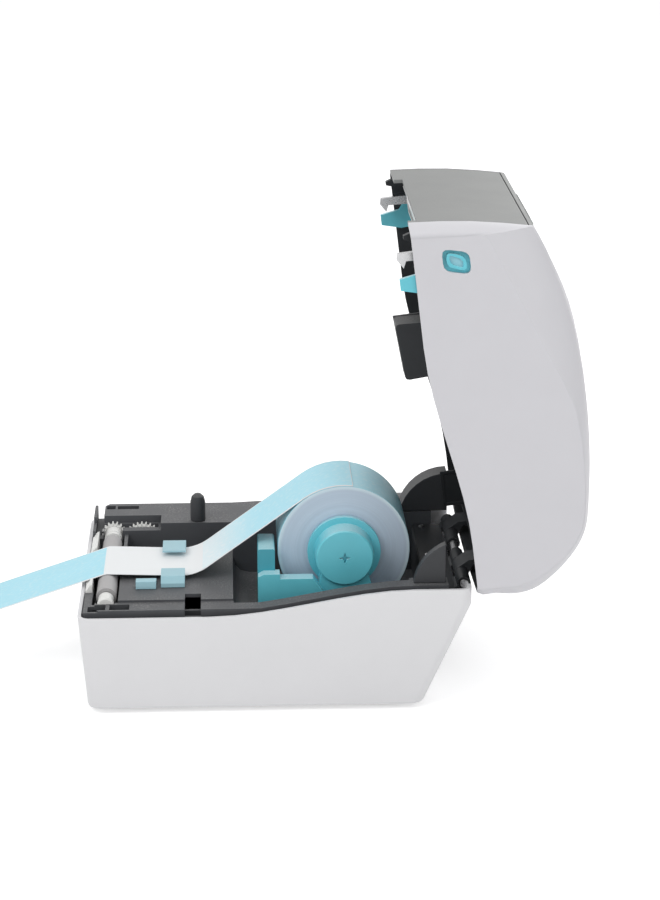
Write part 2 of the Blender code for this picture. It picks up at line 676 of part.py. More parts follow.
def hinge_pieces(lid):
    bore = HINGE_ROD_RADIUS + FIT
    plate_low = LEDGE_Z + FIT
    plate_high = plate_low + 0.0024
    plate_rear = HINGE_Y - KNUCKLE_RADIUS - RUN_GAP
    plate = box("base_hinge_plate", BAY_FAR_X + FIT, BAY_NEAR_X - FIT, BAY_REAR_Y + FIT, plate_rear,
                plate_low,
                plate_high)
    foot = [(plate_rear - 0.004, plate_low + 0.0002), (HINGE_Y, plate_low + 0.0002)]
    lid_knuckles, base_knuckles = knuckle_spans()
    for i, (low_x, high_x) in enumerate(base_knuckles):
        fuse(plate, knuckle(f"base_knuckle_{i}", low_x, high_x, ((-20, 200), foot)))
    hole = prism("base_hinge_bore", circle(HINGE_Y, HINGE_Z, bore, 16), -HALF, HALF)
    paint(carve(plate, hole), "black_inner")

    rod_far = BAY_FAR_X + 0.0005
    rod_near = BAY_NEAR_X - 0.0010
    rod = [(rod_far, 0.0), (rod_far, HINGE_ROD_RADIUS), (rod_near, HINGE_ROD_RADIUS), (rod_near, 0.0)]
    paint(turned("hinge_rod", rod, HINGE_Y, HINGE_Z, "X", 16), "steel")

    outer = LINER_REAR_Y + FIT
    blade = [(outer, HINGE_Z + 0.006), (outer, HINGE_Z + 0.029), (outer + 0.0028, HINGE_Z + 0.029),
             (outer + 0.0034, HINGE_Z + 0.009)]
    for i, (low_x, high_x) in enumerate(lid_knuckles):
        arm = knuckle(f"lid_hinge_arm_{i + 1}", low_x, high_x, ((200, 430), blade[::-1]))
        carve(arm, prism(f"lid_arm_bore_{i}", circle(HINGE_Y, HINGE_Z, bore, 16), low_x - WALL,
                         high_x + WALL))
        hang(paint(arm, "black_inner"), lid)


def gear_outline(first, second, teeth, tooth_at):
    """A spur gear with straight-flanked teeth, one of them at the given angle."""
    pitch = 2 * math.pi / teeth
    root = GEAR_MODULE * (teeth / 2 - 1.1)
    tip = GEAR_MODULE * (teeth / 2 + 0.8)
    flank = ((-0.29, root), (-0.11, tip), (0.11, tip), (0.29, root))
    points = []
    for i in range(teeth):
        for share, radius in flank:
            angle = tooth_at + (i + share) * pitch
            points.append((first + radius * math.cos(angle), second + radius * math.sin(angle)))
    return points


def gear_places():
    reach = GEAR_MODULE * (PLATEN_TEETH + IDLER_TEETH) / 2
    idler = (PLATEN_Y + reach * math.cos(IDLER_ANGLE), PLATEN_Z + reach * math.sin(IDLER_ANGLE))
    reach = GEAR_MODULE * (IDLER_TEETH + PINION_TEETH) / 2
    pinion = (idler[0] + reach * math.cos(PINION_ANGLE), idler[1] + reach * math.sin(PINION_ANGLE))
    return idler, pinion


def platen_and_drive():
    turn = pivot("platen_axis", (0.0, PLATEN_Y, PLATEN_Z))
    shaft_far = GEAR_X - 0.001
    shaft_near = BAY_NEAR_X - 0.0012
    shaft = [(shaft_far, 0.0), (shaft_far, SHAFT_RADIUS), (shaft_near, SHAFT_RADIUS), (shaft_near, 0.0)]
    hang(paint(turned("platen_shaft", shaft, PLATEN_Y, PLATEN_Z, "X", 16), "steel"), turn)
    bore = SHAFT_RADIUS + FIT
    sleeve = [(PLATEN_FAR, bore), (PLATEN_FAR, PLATEN_RADIUS), (PLATEN_NEAR, PLATEN_RADIUS),
              (PLATEN_NEAR, bore)]
    hang(paint(turned("platen_rubber", sleeve, PLATEN_Y, PLATEN_Z, "X", 24), "rubber_grey"), turn)

    cap = shaft_near + RUN_GAP
    slim = NEAR_BEARING_RADIUS - 0.0004
    near_end = BAY_NEAR_X + 0.0018
    near = [(cap, 0.0), (cap, bore), (BAY_NEAR_X - 0.0105, bore), (BAY_NEAR_X - 0.0105, slim),
            (BAY_NEAR_X - 0.0010, slim), (BAY_NEAR_X - 0.0010, NEAR_BEARING_RADIUS),
            (near_end - 0.0010, NEAR_BEARING_RADIUS), (near_end, NEAR_BEARING_RADIUS - 0.0012), (near_end,
                                                                                                 0.0)]
    body = PLATEN_RADIUS - 0.001
    far = [(BAY_FAR_X + 0.0050, bore), (BAY_FAR_X + 0.0050, body), (BAY_FAR_X + 0.0010, body),
           (BAY_FAR_X + 0.0010, FAR_BEARING_RADIUS), (BAY_FAR_X - 0.0080,
                                                      FAR_BEARING_RADIUS), (BAY_FAR_X - 0.0080, bore)]
    for tag, ring in (("near", near), ("far", far)):
        paint(turned(f"platen_bearing_{tag}", ring, PLATEN_Y, PLATEN_Z, "X", 20), "nylon_white")

    gear_end = GEAR_X + GEAR_WIDTH
    idler_place, pinion_place = gear_places()
    wheel = prism("platen_gear", gear_outline(PLATEN_Y, PLATEN_Z, PLATEN_TEETH, IDLER_ANGLE), GEAR_X,
                  gear_end)
    carve(wheel, prism("platen_gear_bore", circle(PLATEN_Y, PLATEN_Z, bore, 16), GEAR_X - WALL,
                       gear_end + WALL))
    hang(paint(wheel, "nylon_white"), turn)

    half_tooth = math.pi / IDLER_TEETH
    back = IDLER_ANGLE + math.pi + half_tooth
    idler = prism("idler_gear", gear_outline(*idler_place, IDLER_TEETH, back), GEAR_X, gear_end)
    carve(idler, prism("idler_bore", circle(*idler_place, 0.0025 + FIT, 12), GEAR_X - WALL,
                       gear_end + WALL))
    hang(paint(idler, "nylon_white"), pivot("idler_axis", (0.0, *idler_place)))
    axle_far = FRAME_WALL - FRAME_HALF + FIT
    axle = [(axle_far, 0.0), (axle_far, 0.0025), (gear_end + 0.002, 0.0025), (gear_end + 0.002, 0.0)]
    paint(turned("idler_axle", axle, *idler_place, "X", 12), "steel")

    pitch = 2 * math.pi / IDLER_TEETH
    steps = (PINION_ANGLE - back) / pitch
    offset = (steps - round(steps)) * pitch
    tooth_turn = -offset * IDLER_TEETH / PINION_TEETH
    meet = PINION_ANGLE + math.pi + math.pi / PINION_TEETH - tooth_turn
    pinion = prism("motor_pinion", gear_outline(*pinion_place, PINION_TEETH, meet), GEAR_X, gear_end)
    stub = prism("pinion_shaft", circle(*pinion_place, 0.0025, 12), GEAR_X - 0.004, GEAR_X + 0.001)
    hang(paint(fuse(pinion, stub), "steel"), pivot("pinion_axis", (0.0, *pinion_place)))
    can = [(axle_far, 0.0), (axle_far, MOTOR_RADIUS), (GEAR_X - 0.0060, MOTOR_RADIUS),
           (GEAR_X - 0.0060, 0.007),
           (GEAR_X - 0.0043, 0.007), (GEAR_X - 0.0043, 0.0)]
    paint(turned("drive_motor", can, *pinion_place, "X", 24), "steel")


def label_roll():
    turn = pivot("roll_axis", (0.0, ROLL_Y, ROLL_Z))
    outer = ROLL_RADIUS
    edge = 0.0006
    ring = [(MEDIA_FAR, CORE_RADIUS + FIT), (MEDIA_FAR, outer - edge), (MEDIA_FAR + edge, outer),
            (MEDIA_NEAR - edge, outer), (MEDIA_NEAR, outer - edge), (MEDIA_NEAR, CORE_RADIUS + FIT)]
    hang(paint(turned("label_roll", ring, ROLL_Y, ROLL_Z, "X", 48), "label_blue"), turn)
    core = [(MEDIA_FAR, CORE_BORE), (MEDIA_FAR, CORE_RADIUS), (MEDIA_NEAR, CORE_RADIUS),
            (MEDIA_NEAR, CORE_BORE)]
    hang(paint(turned("roll_core", core, ROLL_Y, ROLL_Z, "X", 32), "core_card"), turn)


def strip_line():
    """Underside of the label strip: over the roll, down its slope, under the guides, over the platen, out."""
    wrap = ROLL_RADIUS + FIT
    bend = Vector((STRIP_BEND_Y, DECK_Z + STRIP_BEND_LIFT))
    to_roll = Vector((ROLL_Y, ROLL_Z)) - bend
    slope = math.atan2(to_roll.y, to_roll.x) + math.asin(wrap / to_roll.length)
    top = arc(ROLL_Y, ROLL_Z, wrap, 82, 90 + math.degrees(slope), 6)
    reach = STRIP_BEND_RADIUS * math.tan(slope / 2)
    curve = arc(bend.x - reach, bend.y + STRIP_BEND_RADIUS, STRIP_BEND_RADIUS, math.degrees(slope) - 90,
                -90, 5)
    crest = PLATEN_RADIUS + FIT
    over = arc(PLATEN_Y, PLATEN_Z, crest, 90, 90 + math.degrees(STRIP_DROOP), 3)
    leave = over[-1]
    end = (STRIP_REACH_Y, leave[1] + math.tan(STRIP_DROOP) * (STRIP_REACH_Y - leave[0]))
    return top + curve + over + [end]


def label_strip():
    outline = thick_path(strip_line(), STRIP_THICKNESS)
    item = prism("label_strip", outline, MEDIA_FAR, MEDIA_NEAR)
    return paint(smooth_shade(item), "label_blue")


def star(first, second, outer, inner, points):
    spots = []
    for i in range(2 * points):
        radius = inner if i % 2 else outer
        angle = math.pi * i / points + math.pi / 2
        spots.append((first + radius * math.cos(angle), second + radius * math.sin(angle)))
    return spots


def roll_holder(tag, side, face):
    """A sliding arm whose boss fits the roll's core. face is the roll's end on that side."""
    flange_start = face + side * RUN_GAP
    flange_end = flange_start + side * HOLDER_FLANGE
    hub_end = flange_end + side * HOLDER_HUB_LENGTH
    boss_end = face - side * HOLDER_BOSS_LENGTH
    boss = CORE_BORE - RUN_GAP
    chamfer = 0.0015
    profile = [(boss_end, 0.0), (boss_end, boss - chamfer), (boss_end + side * chamfer, boss),
               (flange_start, boss),
               (flange_start, HOLDER_FLANGE_RADIUS - 0.001), (flange_start + side * 0.001,
                                                              HOLDER_FLANGE_RADIUS),
               (flange_end, HOLDER_FLANGE_RADIUS), (flange_end, HOLDER_HUB_RADIUS + 0.001),
               (hub_end - side * 0.001, HOLDER_HUB_RADIUS), (hub_end, HOLDER_HUB_RADIUS - 0.001), (hub_end,
                                                                                                   0.0)]
    body = turned(f"{tag}_roll_holder", profile, ROLL_Y, ROLL_Z, "X", 32)
    foot_z = BAY_FLOOR_Z + FIT
    waist = HOLDER_HUB_RADIUS * 0.8
    stem = [(ROLL_Y - 0.026, foot_z), (ROLL_Y + 0.026, foot_z), (ROLL_Y + 0.026, foot_z + 0.004),
            (ROLL_Y + waist, ROLL_Z - 0.012), (ROLL_Y - waist, ROLL_Z - 0.012), (ROLL_Y - 0.026,
                                                                                 foot_z + 0.004)]
    span = sorted((flange_end - side * 0.002, hub_end - side * 0.003))
    fuse(body, prism(f"{tag}_holder_stem", stem, *span))
    carve(body, prism(f"{tag}_holder_star", star(ROLL_Y, ROLL_Z, 0.0042, 0.0016, 4),
                      *sorted((hub_end - side * 0.003, hub_end + side * 0.003))))
    return body, flange_end, hub_end


def roll_holders():
    near, flange_end, hub_end = roll_holder("near", 1, MEDIA_NEAR)
    foot_z = BAY_FLOOR_Z + FIT
    front = ROLL_Y - ROLL_RADIUS - 0.0140
    arm = [(front, foot_z), (ROLL_Y - 0.024, foot_z), (ROLL_Y - 0.014, 0.0700), (ROLL_Y - 0.022, 0.0815),
           (front + 0.0150, 0.0815), (front + 0.0150, 0.0850), (front + 0.0040, 0.0850), (front, 0.0830)]
    reach = hub_end + 0.0030
    block = [(front, foot_z), (front + 0.0118, foot_z), (front + 0.0118, 0.1006), (front, 0.1006)]
    link = prism("near_holder_arm", arm, flange_end + 0.0060, reach)
    finger = prism("near_holder_finger", fillet(block, 0.0015, 2), MEDIA_NEAR - 0.0190, flange_end + 0.0080)
    fuse(near, link, finger)
    carrier = pivot("near_holder_slide", (MEDIA_NEAR, ROLL_Y, ROLL_Z))
    hang(paint(near, "teal_touch"), carrier)
    far, _, _ = roll_holder("far", -1, MEDIA_FAR)
    hang(paint(far, "teal_touch"), pivot("far_holder_slide", (MEDIA_FAR, ROLL_Y, ROLL_Z)))


def media_guides():
    low = DECK_Z + FIT
    y_span = (GUIDE_Y - GUIDE_LENGTH / 2, GUIDE_Y + GUIDE_LENGTH / 2)
    lip_z = low + 0.0058
    near_in = MEDIA_NEAR + RUN_GAP
    near = [(near_in, low), (near_in + 0.0165, low), (near_in + 0.0165, low + 0.0030),
            (near_in + 0.0130, low + GUIDE_HEIGHT), (near_in - 0.0030, low + GUIDE_HEIGHT),
            (near_in - 0.0030, low + GUIDE_HEIGHT - 0.0022), (near_in, low + GUIDE_HEIGHT - 0.0022)]
    item = prism("near_media_guide", near, *y_span, axis="Y")
    hang(paint(item, "pale_teal"), pivot("near_guide_slide", (near_in, GUIDE_Y, low)))
    far_in = MEDIA_FAR - RUN_GAP
    far = [(far_in, low), (far_in, lip_z), (far_in + GUIDE_LIP, lip_z),
           (far_in + GUIDE_LIP, lip_z + 0.0014),
           (far_in - 0.0025, lip_z + 0.0014), (far_in - 0.0025, low)]
    item = prism("far_media_guide", far, *y_span, axis="Y")
    hang(paint(item, "pale_teal"), pivot("far_guide_slide", (far_in, GUIDE_Y, low)))


def media_sensor():
    low = DECK_Z + FIT
    start = MEDIA_NEAR + 0.0030
    outline = [(start, low), (start + 0.0165, low), (start + 0.0165, low + 0.0018),
               (start + 0.0155, low + 0.0052),
               (start + 0.0085, low + 0.0052), (start + 0.0070, low + 0.0018), (start, low + 0.0018)]
    item = prism("media_sensor", outline, SENSOR_Y - SENSOR_LENGTH / 2, SENSOR_Y + SENSOR_LENGTH / 2, "Y")
    hang(paint(item, "teal_touch"), pivot("sensor_slide", (start, SENSOR_Y, low)))


def lid_curves():
    """The lid's outline near its middle and at its flat sides, point for point, front to back."""
    shares = (0.0, 0.25, 0.5, 0.75, PANEL_SHARE)
    front_steps = len(shares)
    foot = Vector((LID_FRONT, seam_z(FRONT) + SEAM_GAP))
    brow = Vector((LID_BROW_Y, LID_BROW_Z))
    middle = []
    for t in shares:
        spot = foot.lerp(brow, t)
        middle.append((spot.x - PANEL_BULGE * math.sin(math.pi * t), spot.y))
    run = REAR - LID_BROW_Y
    edge = seam_z(REAR) + SEAM_GAP
    top = [(LID_BROW_Y, LID_BROW_Z), (LID_BROW_Y + 0.100 * run, LID_TOP_Z - 0.0143),
           (LID_BROW_Y + 0.280 * run, LID_TOP_Z - 0.0037), (LID_BROW_Y + 0.510 * run, LID_TOP_Z),
           (LID_BROW_Y + 0.744 * run, LID_TOP_Z - 0.0041), (REAR - 0.0260, LID_TOP_Z - 0.0142),
           (REAR + 0.0031, LID_TOP_Z - 0.0492), (REAR, edge)]
    middle += smooth_curve(top, 3)
    side_foot = Vector((LID_FRONT + CORNER_RADIUS, seam_z(FRONT) + SEAM_GAP))
    side_brow = Vector((LID_BROW_Y - 0.0015, CREASE_FRONT_Z))
    side = [tuple(side_foot.lerp(side_brow, t)) for t in shares]
    crease = CREASE_REAR_Z - CREASE_FRONT_Z
    rim = [tuple(side_brow), (LID_BROW_Y + 0.080 * run, CREASE_FRONT_Z + 0.18 * crease),
           (LID_BROW_Y + 0.280 * run, CREASE_FRONT_Z + 0.58 * crease), (LID_BROW_Y + 0.500 * run,
                                                                        CREASE_REAR_Z),
           (LID_BROW_Y + 0.736 * run, LID_TOP_Z - 0.0088), (REAR - 0.0315, LID_TOP_Z - 0.0184),
           (REAR - CORNER_RADIUS, LID_TOP_Z - 0.0508), (REAR - CORNER_RADIUS, edge)]
    side += smooth_curve(rim, 3)
    return middle, side, front_steps


def lid_crown(x, y, z):
    """Rise of the crowned top above its side edges, growing from nothing at the brow."""
    if abs(x) >= PANEL_HALF:
        return 0.0
    low = HINGE_Z + 0.030
    share = min(max((z - low) / (LID_TOP_Z - low), 0.0), 1.0)
    t = min(max((y - LID_BROW_Y) / LID_CROWN_RUN, 0.0), 1.0)
    return LID_CROWN * (1 - (x / PANEL_HALF) ** 2) * share * t * t * (3 - 2 * t)


def lid_slices():
    """Across the lid: x and how far each slice has gone from the middle outline to the side outline."""
    edge = [(HALF - LID_SHOULDER * u, (1 - u) ** 2) for u in (0.0, 0.25, 0.5, 0.78, 1.0)]
    inner = [(PANEL_HALF * share, 0.0) for share in (0.66, 0.33, 0.0)]
    near = edge + inner
    far = [(-x, f) for x, f in near[-2::-1]]
    return near + far


def lid_point(x, blend, j, middle, side):
    a, b = middle[j], side[j]
    y = a[0] + (b[0] - a[0]) * blend
    z = a[1] + (b[1] - a[1]) * blend
    return (x, y, z + lid_crown(x, y, z))


def add_wall(item, thickness):
    modifier = item.modifiers.new("wall", "SOLIDIFY")
    modifier.thickness = thickness
    modifier.offset = -1.0
    modifier.use_even_offset = True
    return item


def lid_shell(lid):
    middle, side, front_steps = lid_curves()
    slices = lid_slices()
    bm = bmesh.new()
    grid = [[bm.verts.new(lid_point(x, f, j, middle, side)) for j in range(len(middle))] for x, f in slices]
    for i in range(len(slices) - 1):
        open_front = max(abs(slices[i][0]), abs(slices[i + 1][0])) <= PANEL_HALF + 1e-6
        for j in range(len(middle) - 1):
            if not (open_front and j < front_steps - 1):
                bm.faces.new((grid[i][j], grid[i][j + 1], grid[i + 1][j + 1], grid[i + 1][j]))
    for column, x in ((grid[0], HALF), (grid[-1], -HALF)):
        rim = seam_points(side[0][0], side[-1][0], SEAM_GAP)[1:-1]
        bm.faces.new(column + [bm.verts.new((x, y, z)) for y, z in reversed(rim)])
    bmesh.ops.delete(bm, geom=[v for v in bm.verts if not v.link_faces], context="VERTS")
    shell = add_object("lid_shell", bm)
    outward = Vector((0, 0, 1))
    if max(shell.data.polygons, key=lambda p: p.center.z).normal.dot(outward) < 0:
        shell.data.flip_normals()
    add_wall(shell, WALL)
    for tag, x_low in (("near", HALF - 2 * WALL), ("far", -HALF - 2 * WALL)):
        carve(shell, prism(f"lid_{tag}_latch_window", latch_window(0.0), x_low, x_low + 4 * WALL))
    for i, (centre, normal) in enumerate(button_places()):
        carve(shell, button_plug(f"lid_button_hole_{i}", BUTTON_RADIUS + FIT, centre, normal, 4 * WALL,
                                 4 * WALL))
    centre, normal = brow_place(2 * BUTTON_SPACING)
    carve(shell, button_plug("lid_lamp_hole", 0.0022 + FIT, centre, normal, 4 * WALL, 4 * WALL))
    return hang(paint(smooth_shade(shell, 28), "white_shell"), lid)


def latch_window(grow):
    """A rounded parallelogram round the latch pad, its top further back than its foot."""
    half_y = LATCH_WINDOW_LENGTH / 2 + grow
    half_z = LATCH_WINDOW_HEIGHT / 2 + grow
    lean = LATCH_WINDOW_LEAN
    corners = [(-half_y - lean, -half_z), (half_y - lean, -half_z), (half_y + lean, half_z),
               (-half_y + lean, half_z)]
    return fillet([(LATCH_PAD_Y + y, LATCH_PAD_Z + z) for y, z in corners], 0.0050)


def lid_front_panel(lid):
    middle, side, front_steps = lid_curves()
    edge = PANEL_HALF - 2 * FIT
    bm = bmesh.new()
    columns = []
    for x in (edge, 0.5 * edge, 0.0, -0.5 * edge, -edge):
        spots = [Vector(lid_point(x, 0.0, j, middle, side)) for j in range(front_steps)]
        spots[-1] += (spots[-2] - spots[-1]).normalized() * 2 * FIT
        columns.append([bm.verts.new(spot) for spot in spots])
    for left, right in zip(columns, columns[1:]):
        for j in range(front_steps - 1):
            bm.faces.new((left[j], left[j + 1], right[j + 1], right[j]))
    panel = add_object("lid_front_panel", bm)
    if panel.data.polygons[0].normal.y > 0:
        panel.data.flip_normals()
    add_wall(panel, WALL)
    mouth = box("panel_exit_mouth", BAY_FAR_X - FIT, BAY_NEAR_X + FIT, FRONT - 0.01, FRONT + 0.02,
                FRONT_SEAM_Z - 0.01,
                EXIT_MOUTH_TOP_Z)
    carve(panel, mouth)
    hang(paint(smooth_shade(panel, 28), "grey_panel"), lid)

    bar_y = LID_FRONT + 0.0041
    bar = box("tear_bar", BAY_FAR_X + 0.004, BAY_NEAR_X - 0.004, bar_y, bar_y + 0.0010,
              EXIT_MOUTH_TOP_Z - 0.0002,
              EXIT_MOUTH_TOP_Z + 0.0062)
    hang(paint(bar, "steel"), lid)


def liner_dome(grow):
    """Side outline of the liner, front to back, moved out by grow."""
    run = LINER_REAR_Y - LINER_FRONT_Y
    line = [(LINER_FRONT_Y, LINER_BOTTOM_Z), (LINER_FRONT_Y + 0.001, 0.1160),
            (LINER_FRONT_Y + 0.0160, 0.1300),
            (LINER_FRONT_Y + 0.27 * run, 0.1465), (LINER_FRONT_Y + 0.54 * run, 0.1560),
            (LINER_FRONT_Y + 0.77 * run, 0.1560), (LINER_REAR_Y - 0.0180, 0.1450), (LINER_REAR_Y, 0.1180),
            (LINER_REAR_Y, LINER_BOTTOM_Z)]
    if not grow:
        return line
    return thick_path(line, -grow)[len(line):][::-1]


def lid_liner(lid):
    outline = liner_dome(0.0)
    cheek = LINER_HALF - LATCH_POCKET
    body = prism("lid_liner", outline, -cheek, cheek)
    inner = liner_dome(-LINER_WALL)
    low = LINER_BOTTOM_Z - 0.010
    hollow = [(inner[0][0], low)] + inner[1:-1] + [(inner[-1][0], low)]
    cavity = prism("liner_cavity", hollow, LINER_WALL - cheek, cheek - LINER_WALL)
    guard_window = box("liner_guard_window", BAY_FAR_X - 0.0190, BAY_FAR_X + 0.0010, LINER_REAR_Y - 0.0090,
                       LINER_REAR_Y + 0.0040, low, HINGE_Z + GUARD_RADIUS + 0.0035)
    carve(body, cavity, guard_window)
    for side in (1, -1):
        tag = "near" if side > 0 else "far"
        flange = box(f"liner_{tag}_flange", *sorted((side * (cheek - 0.001), side * LINER_HALF)),
                     LATCH_POCKET_Y,
                     LINER_REAR_Y - 0.004, LINER_BOTTOM_Z + FIT, LINER_BOTTOM_Z + LINER_WALL)
        bore = prism(f"liner_{tag}_latch_bore", circle(LATCH_PIVOT_Y, LATCH_PIVOT_Z, 0.0030 + FIT, 16),
                     *sorted((side * (cheek - 2 * LINER_WALL), side * (cheek + WALL))))
        fuse(body, flange)
        carve(body, bore)
    return hang(paint(body, "black_inner"), lid)


def head_pieces(lid):
    rear = LINER_FRONT_Y - FIT
    bracket_high = BRACKET_Z + BRACKET_THICKNESS
    front = LUG_Y - LUG_DEPTH / 2
    reach = HOOK_X + 0.0035
    bracket = prism("head_bracket", [(rear, LINER_BOTTOM_Z + 0.001), (rear, 0.1150),
                                     (rear - BRACKET_THICKNESS, 0.1150),
                    (rear - BRACKET_THICKNESS, bracket_high), (front, bracket_high), (front, BRACKET_Z),
                    (rear - BRACKET_THICKNESS, BRACKET_Z), (rear - BRACKET_THICKNESS,
                                                            LINER_BOTTOM_Z + 0.001)],
                    -reach, reach)
    lug_rear = front + LUG_DEPTH
    lug = [(front, BRACKET_Z + 0.001), (front, 0.0720), (LUG_Y - 0.0012, 0.0680), (LUG_Y + 0.0012, 0.0680),
           (lug_rear, 0.0720), (lug_rear, BRACKET_Z + 0.001)]
    for side in (1, -1):
        span = sorted((side * (HOOK_X - HOOK_WIDTH / 2), side * (HOOK_X + HOOK_WIDTH / 2 + 0.001)))
        fuse(bracket, prism(f"head_lug_{side}", lug, *span))
    pin_low = HEAD_Z + HEAD_HEIGHT + 0.003
    pin_places = [MEDIA_X + side * (PLATEN_LENGTH / 2 - 0.002) for side in (1, -1)]
    for i, x in enumerate(pin_places):
        fuse(bracket, prism(f"head_pin_{i}", circle(x, PLATEN_Y, 0.0020, 12), pin_low, BRACKET_Z + 0.001,
                            "Z"))
    hang(paint(bracket, "black_inner"), lid)

    float_axis = pivot("head_float", (MEDIA_X, PLATEN_Y, HEAD_Z), lid)
    half = PLATEN_LENGTH / 2 + 0.004
    head = box("print_head", MEDIA_X - half, MEDIA_X + half, HEAD_FRONT_Y, HEAD_FRONT_Y + HEAD_DEPTH,
               HEAD_Z,
               HEAD_Z + HEAD_HEIGHT)
    hang(paint(head, "nylon_white"), float_axis)
    low = HEAD_Z + HEAD_HEIGHT + FIT
    high = low + CARRIER_HEIGHT
    shape = [(HEAD_FRONT_Y, low), (PLATEN_Y + 0.0110, low), (PLATEN_Y + 0.0110, high - 0.002),
             (PLATEN_Y + 0.0070, high), (PLATEN_Y - 0.0035, high), (HEAD_FRONT_Y, high - 0.004)]
    block = prism("head_carrier", shape, MEDIA_X - half - 0.004, MEDIA_X + half + 0.004)
    fins = [box(f"head_fin_gap_{i}", MEDIA_X - 0.043 + 0.0156 * i, MEDIA_X - 0.035 + 0.0156 * i,
                PLATEN_Y - 0.012,
                PLATEN_Y - 0.0032, high - 0.006, high + 0.002) for i in range(6)]
    bores = [prism(f"head_bore_{i}", circle(x, PLATEN_Y, 0.0020 + FIT, 12), low - WALL, high + WALL, "Z")
             for i, x in enumerate(pin_places)]
    carve(block, *fins, *bores)
    hang(paint(block, "steel"), float_axis)
    leaf = thick_path([(PLATEN_Y - 0.0030, high + FIT), (PLATEN_Y + 0.0010, high + 0.0022),
                       (PLATEN_Y + 0.0055, high + FIT)], -0.0005)
    hang(paint(prism("head_leaf_spring", leaf, MEDIA_X - 0.030, MEDIA_X + 0.030), "steel"), float_axis)


def ribbon_y(share):
    """A place between the liner's front and the roll, as a share of that run."""
    return LINER_FRONT_Y + share * (ROLL_Y - LINER_FRONT_Y)


def ribbon_pieces(lid):
    front = ribbon_y(0.10)
    box_front = ribbon_y(0.47)
    box_rear = ribbon_y(0.75)
    floor = LINER_BOTTOM_Z + 0.0065
    ceiling = LINER_BOTTOM_Z + 0.0520
    keel = LINER_BOTTOM_Z - 0.0343
    far_end = CARRIAGE_X + CARRIAGE_WIDTH
    slab = [(front, floor), (ribbon_y(0.27), floor), (ribbon_y(0.37), floor + 0.011),
            (box_front, floor + 0.011),
            (box_front, keel), (box_rear, keel + 0.003), (box_rear, ceiling), (box_front, ceiling - 0.0013),
            (front, 0.1240)]
    carriage = prism("ribbon_carriage", slab, CARRIAGE_X, CARRIAGE_X + 0.0030)
    gearbox = fillet([(box_front, keel), (box_rear, keel + 0.003), (box_rear - 0.002, floor),
                      (box_front + 0.002, floor)],
                     0.003, 2)
    fuse(carriage, prism("ribbon_gearbox", gearbox, CARRIAGE_X + 0.001, far_end))
    hang(paint(carriage, "black_inner"), lid)
    plate = [(front, floor), (ribbon_y(0.71), floor + 0.009), (ribbon_y(0.737), ceiling),
             (box_front, ceiling - 0.0013),
             (front, 0.1240)]
    side_plate = prism("ribbon_side_plate", plate, SIDE_PLATE_X, SIDE_PLATE_X + 0.0030)
    hang(paint(side_plate, "black_inner"), lid)
    for name, y, z in (("supply", ribbon_y(0.616), SUPPLY_HUB_Z), ("takeup", ribbon_y(0.19), TAKEUP_HUB_Z)):
        for tag, side, face in (("far", 1, CARRIAGE_X + 0.0030), ("near", -1, SIDE_PLATE_X)):
            start = face + side * FIT
            tip = start + side * HUB_LENGTH
            flange = start + side * 0.0025
            profile = [(start, 0.0), (start, HUB_RADIUS + 0.004), (flange, HUB_RADIUS + 0.004),
                       (flange, HUB_RADIUS),
                       (tip - side * 0.003, HUB_RADIUS), (tip, HUB_RADIUS - 0.003), (tip, 0.0)]
            hub = turned(f"ribbon_{name}_hub_{tag}", profile, y, z, "X", 16)
            for k in range(3):
                angle = 2 * math.pi * k / 3 + math.pi / 2
                key = circle(y + HUB_RADIUS * math.cos(angle), z + HUB_RADIUS * math.sin(angle), 0.0016, 8)
                carve(hub, prism(f"{name}_{tag}_groove_{k}", key,
                                 *sorted((flange + side * 0.002, tip + side * 0.01))))
            hang(paint(hub, "teal_touch"), pivot(f"{name}_{tag}_axis", (face, y, z), lid))


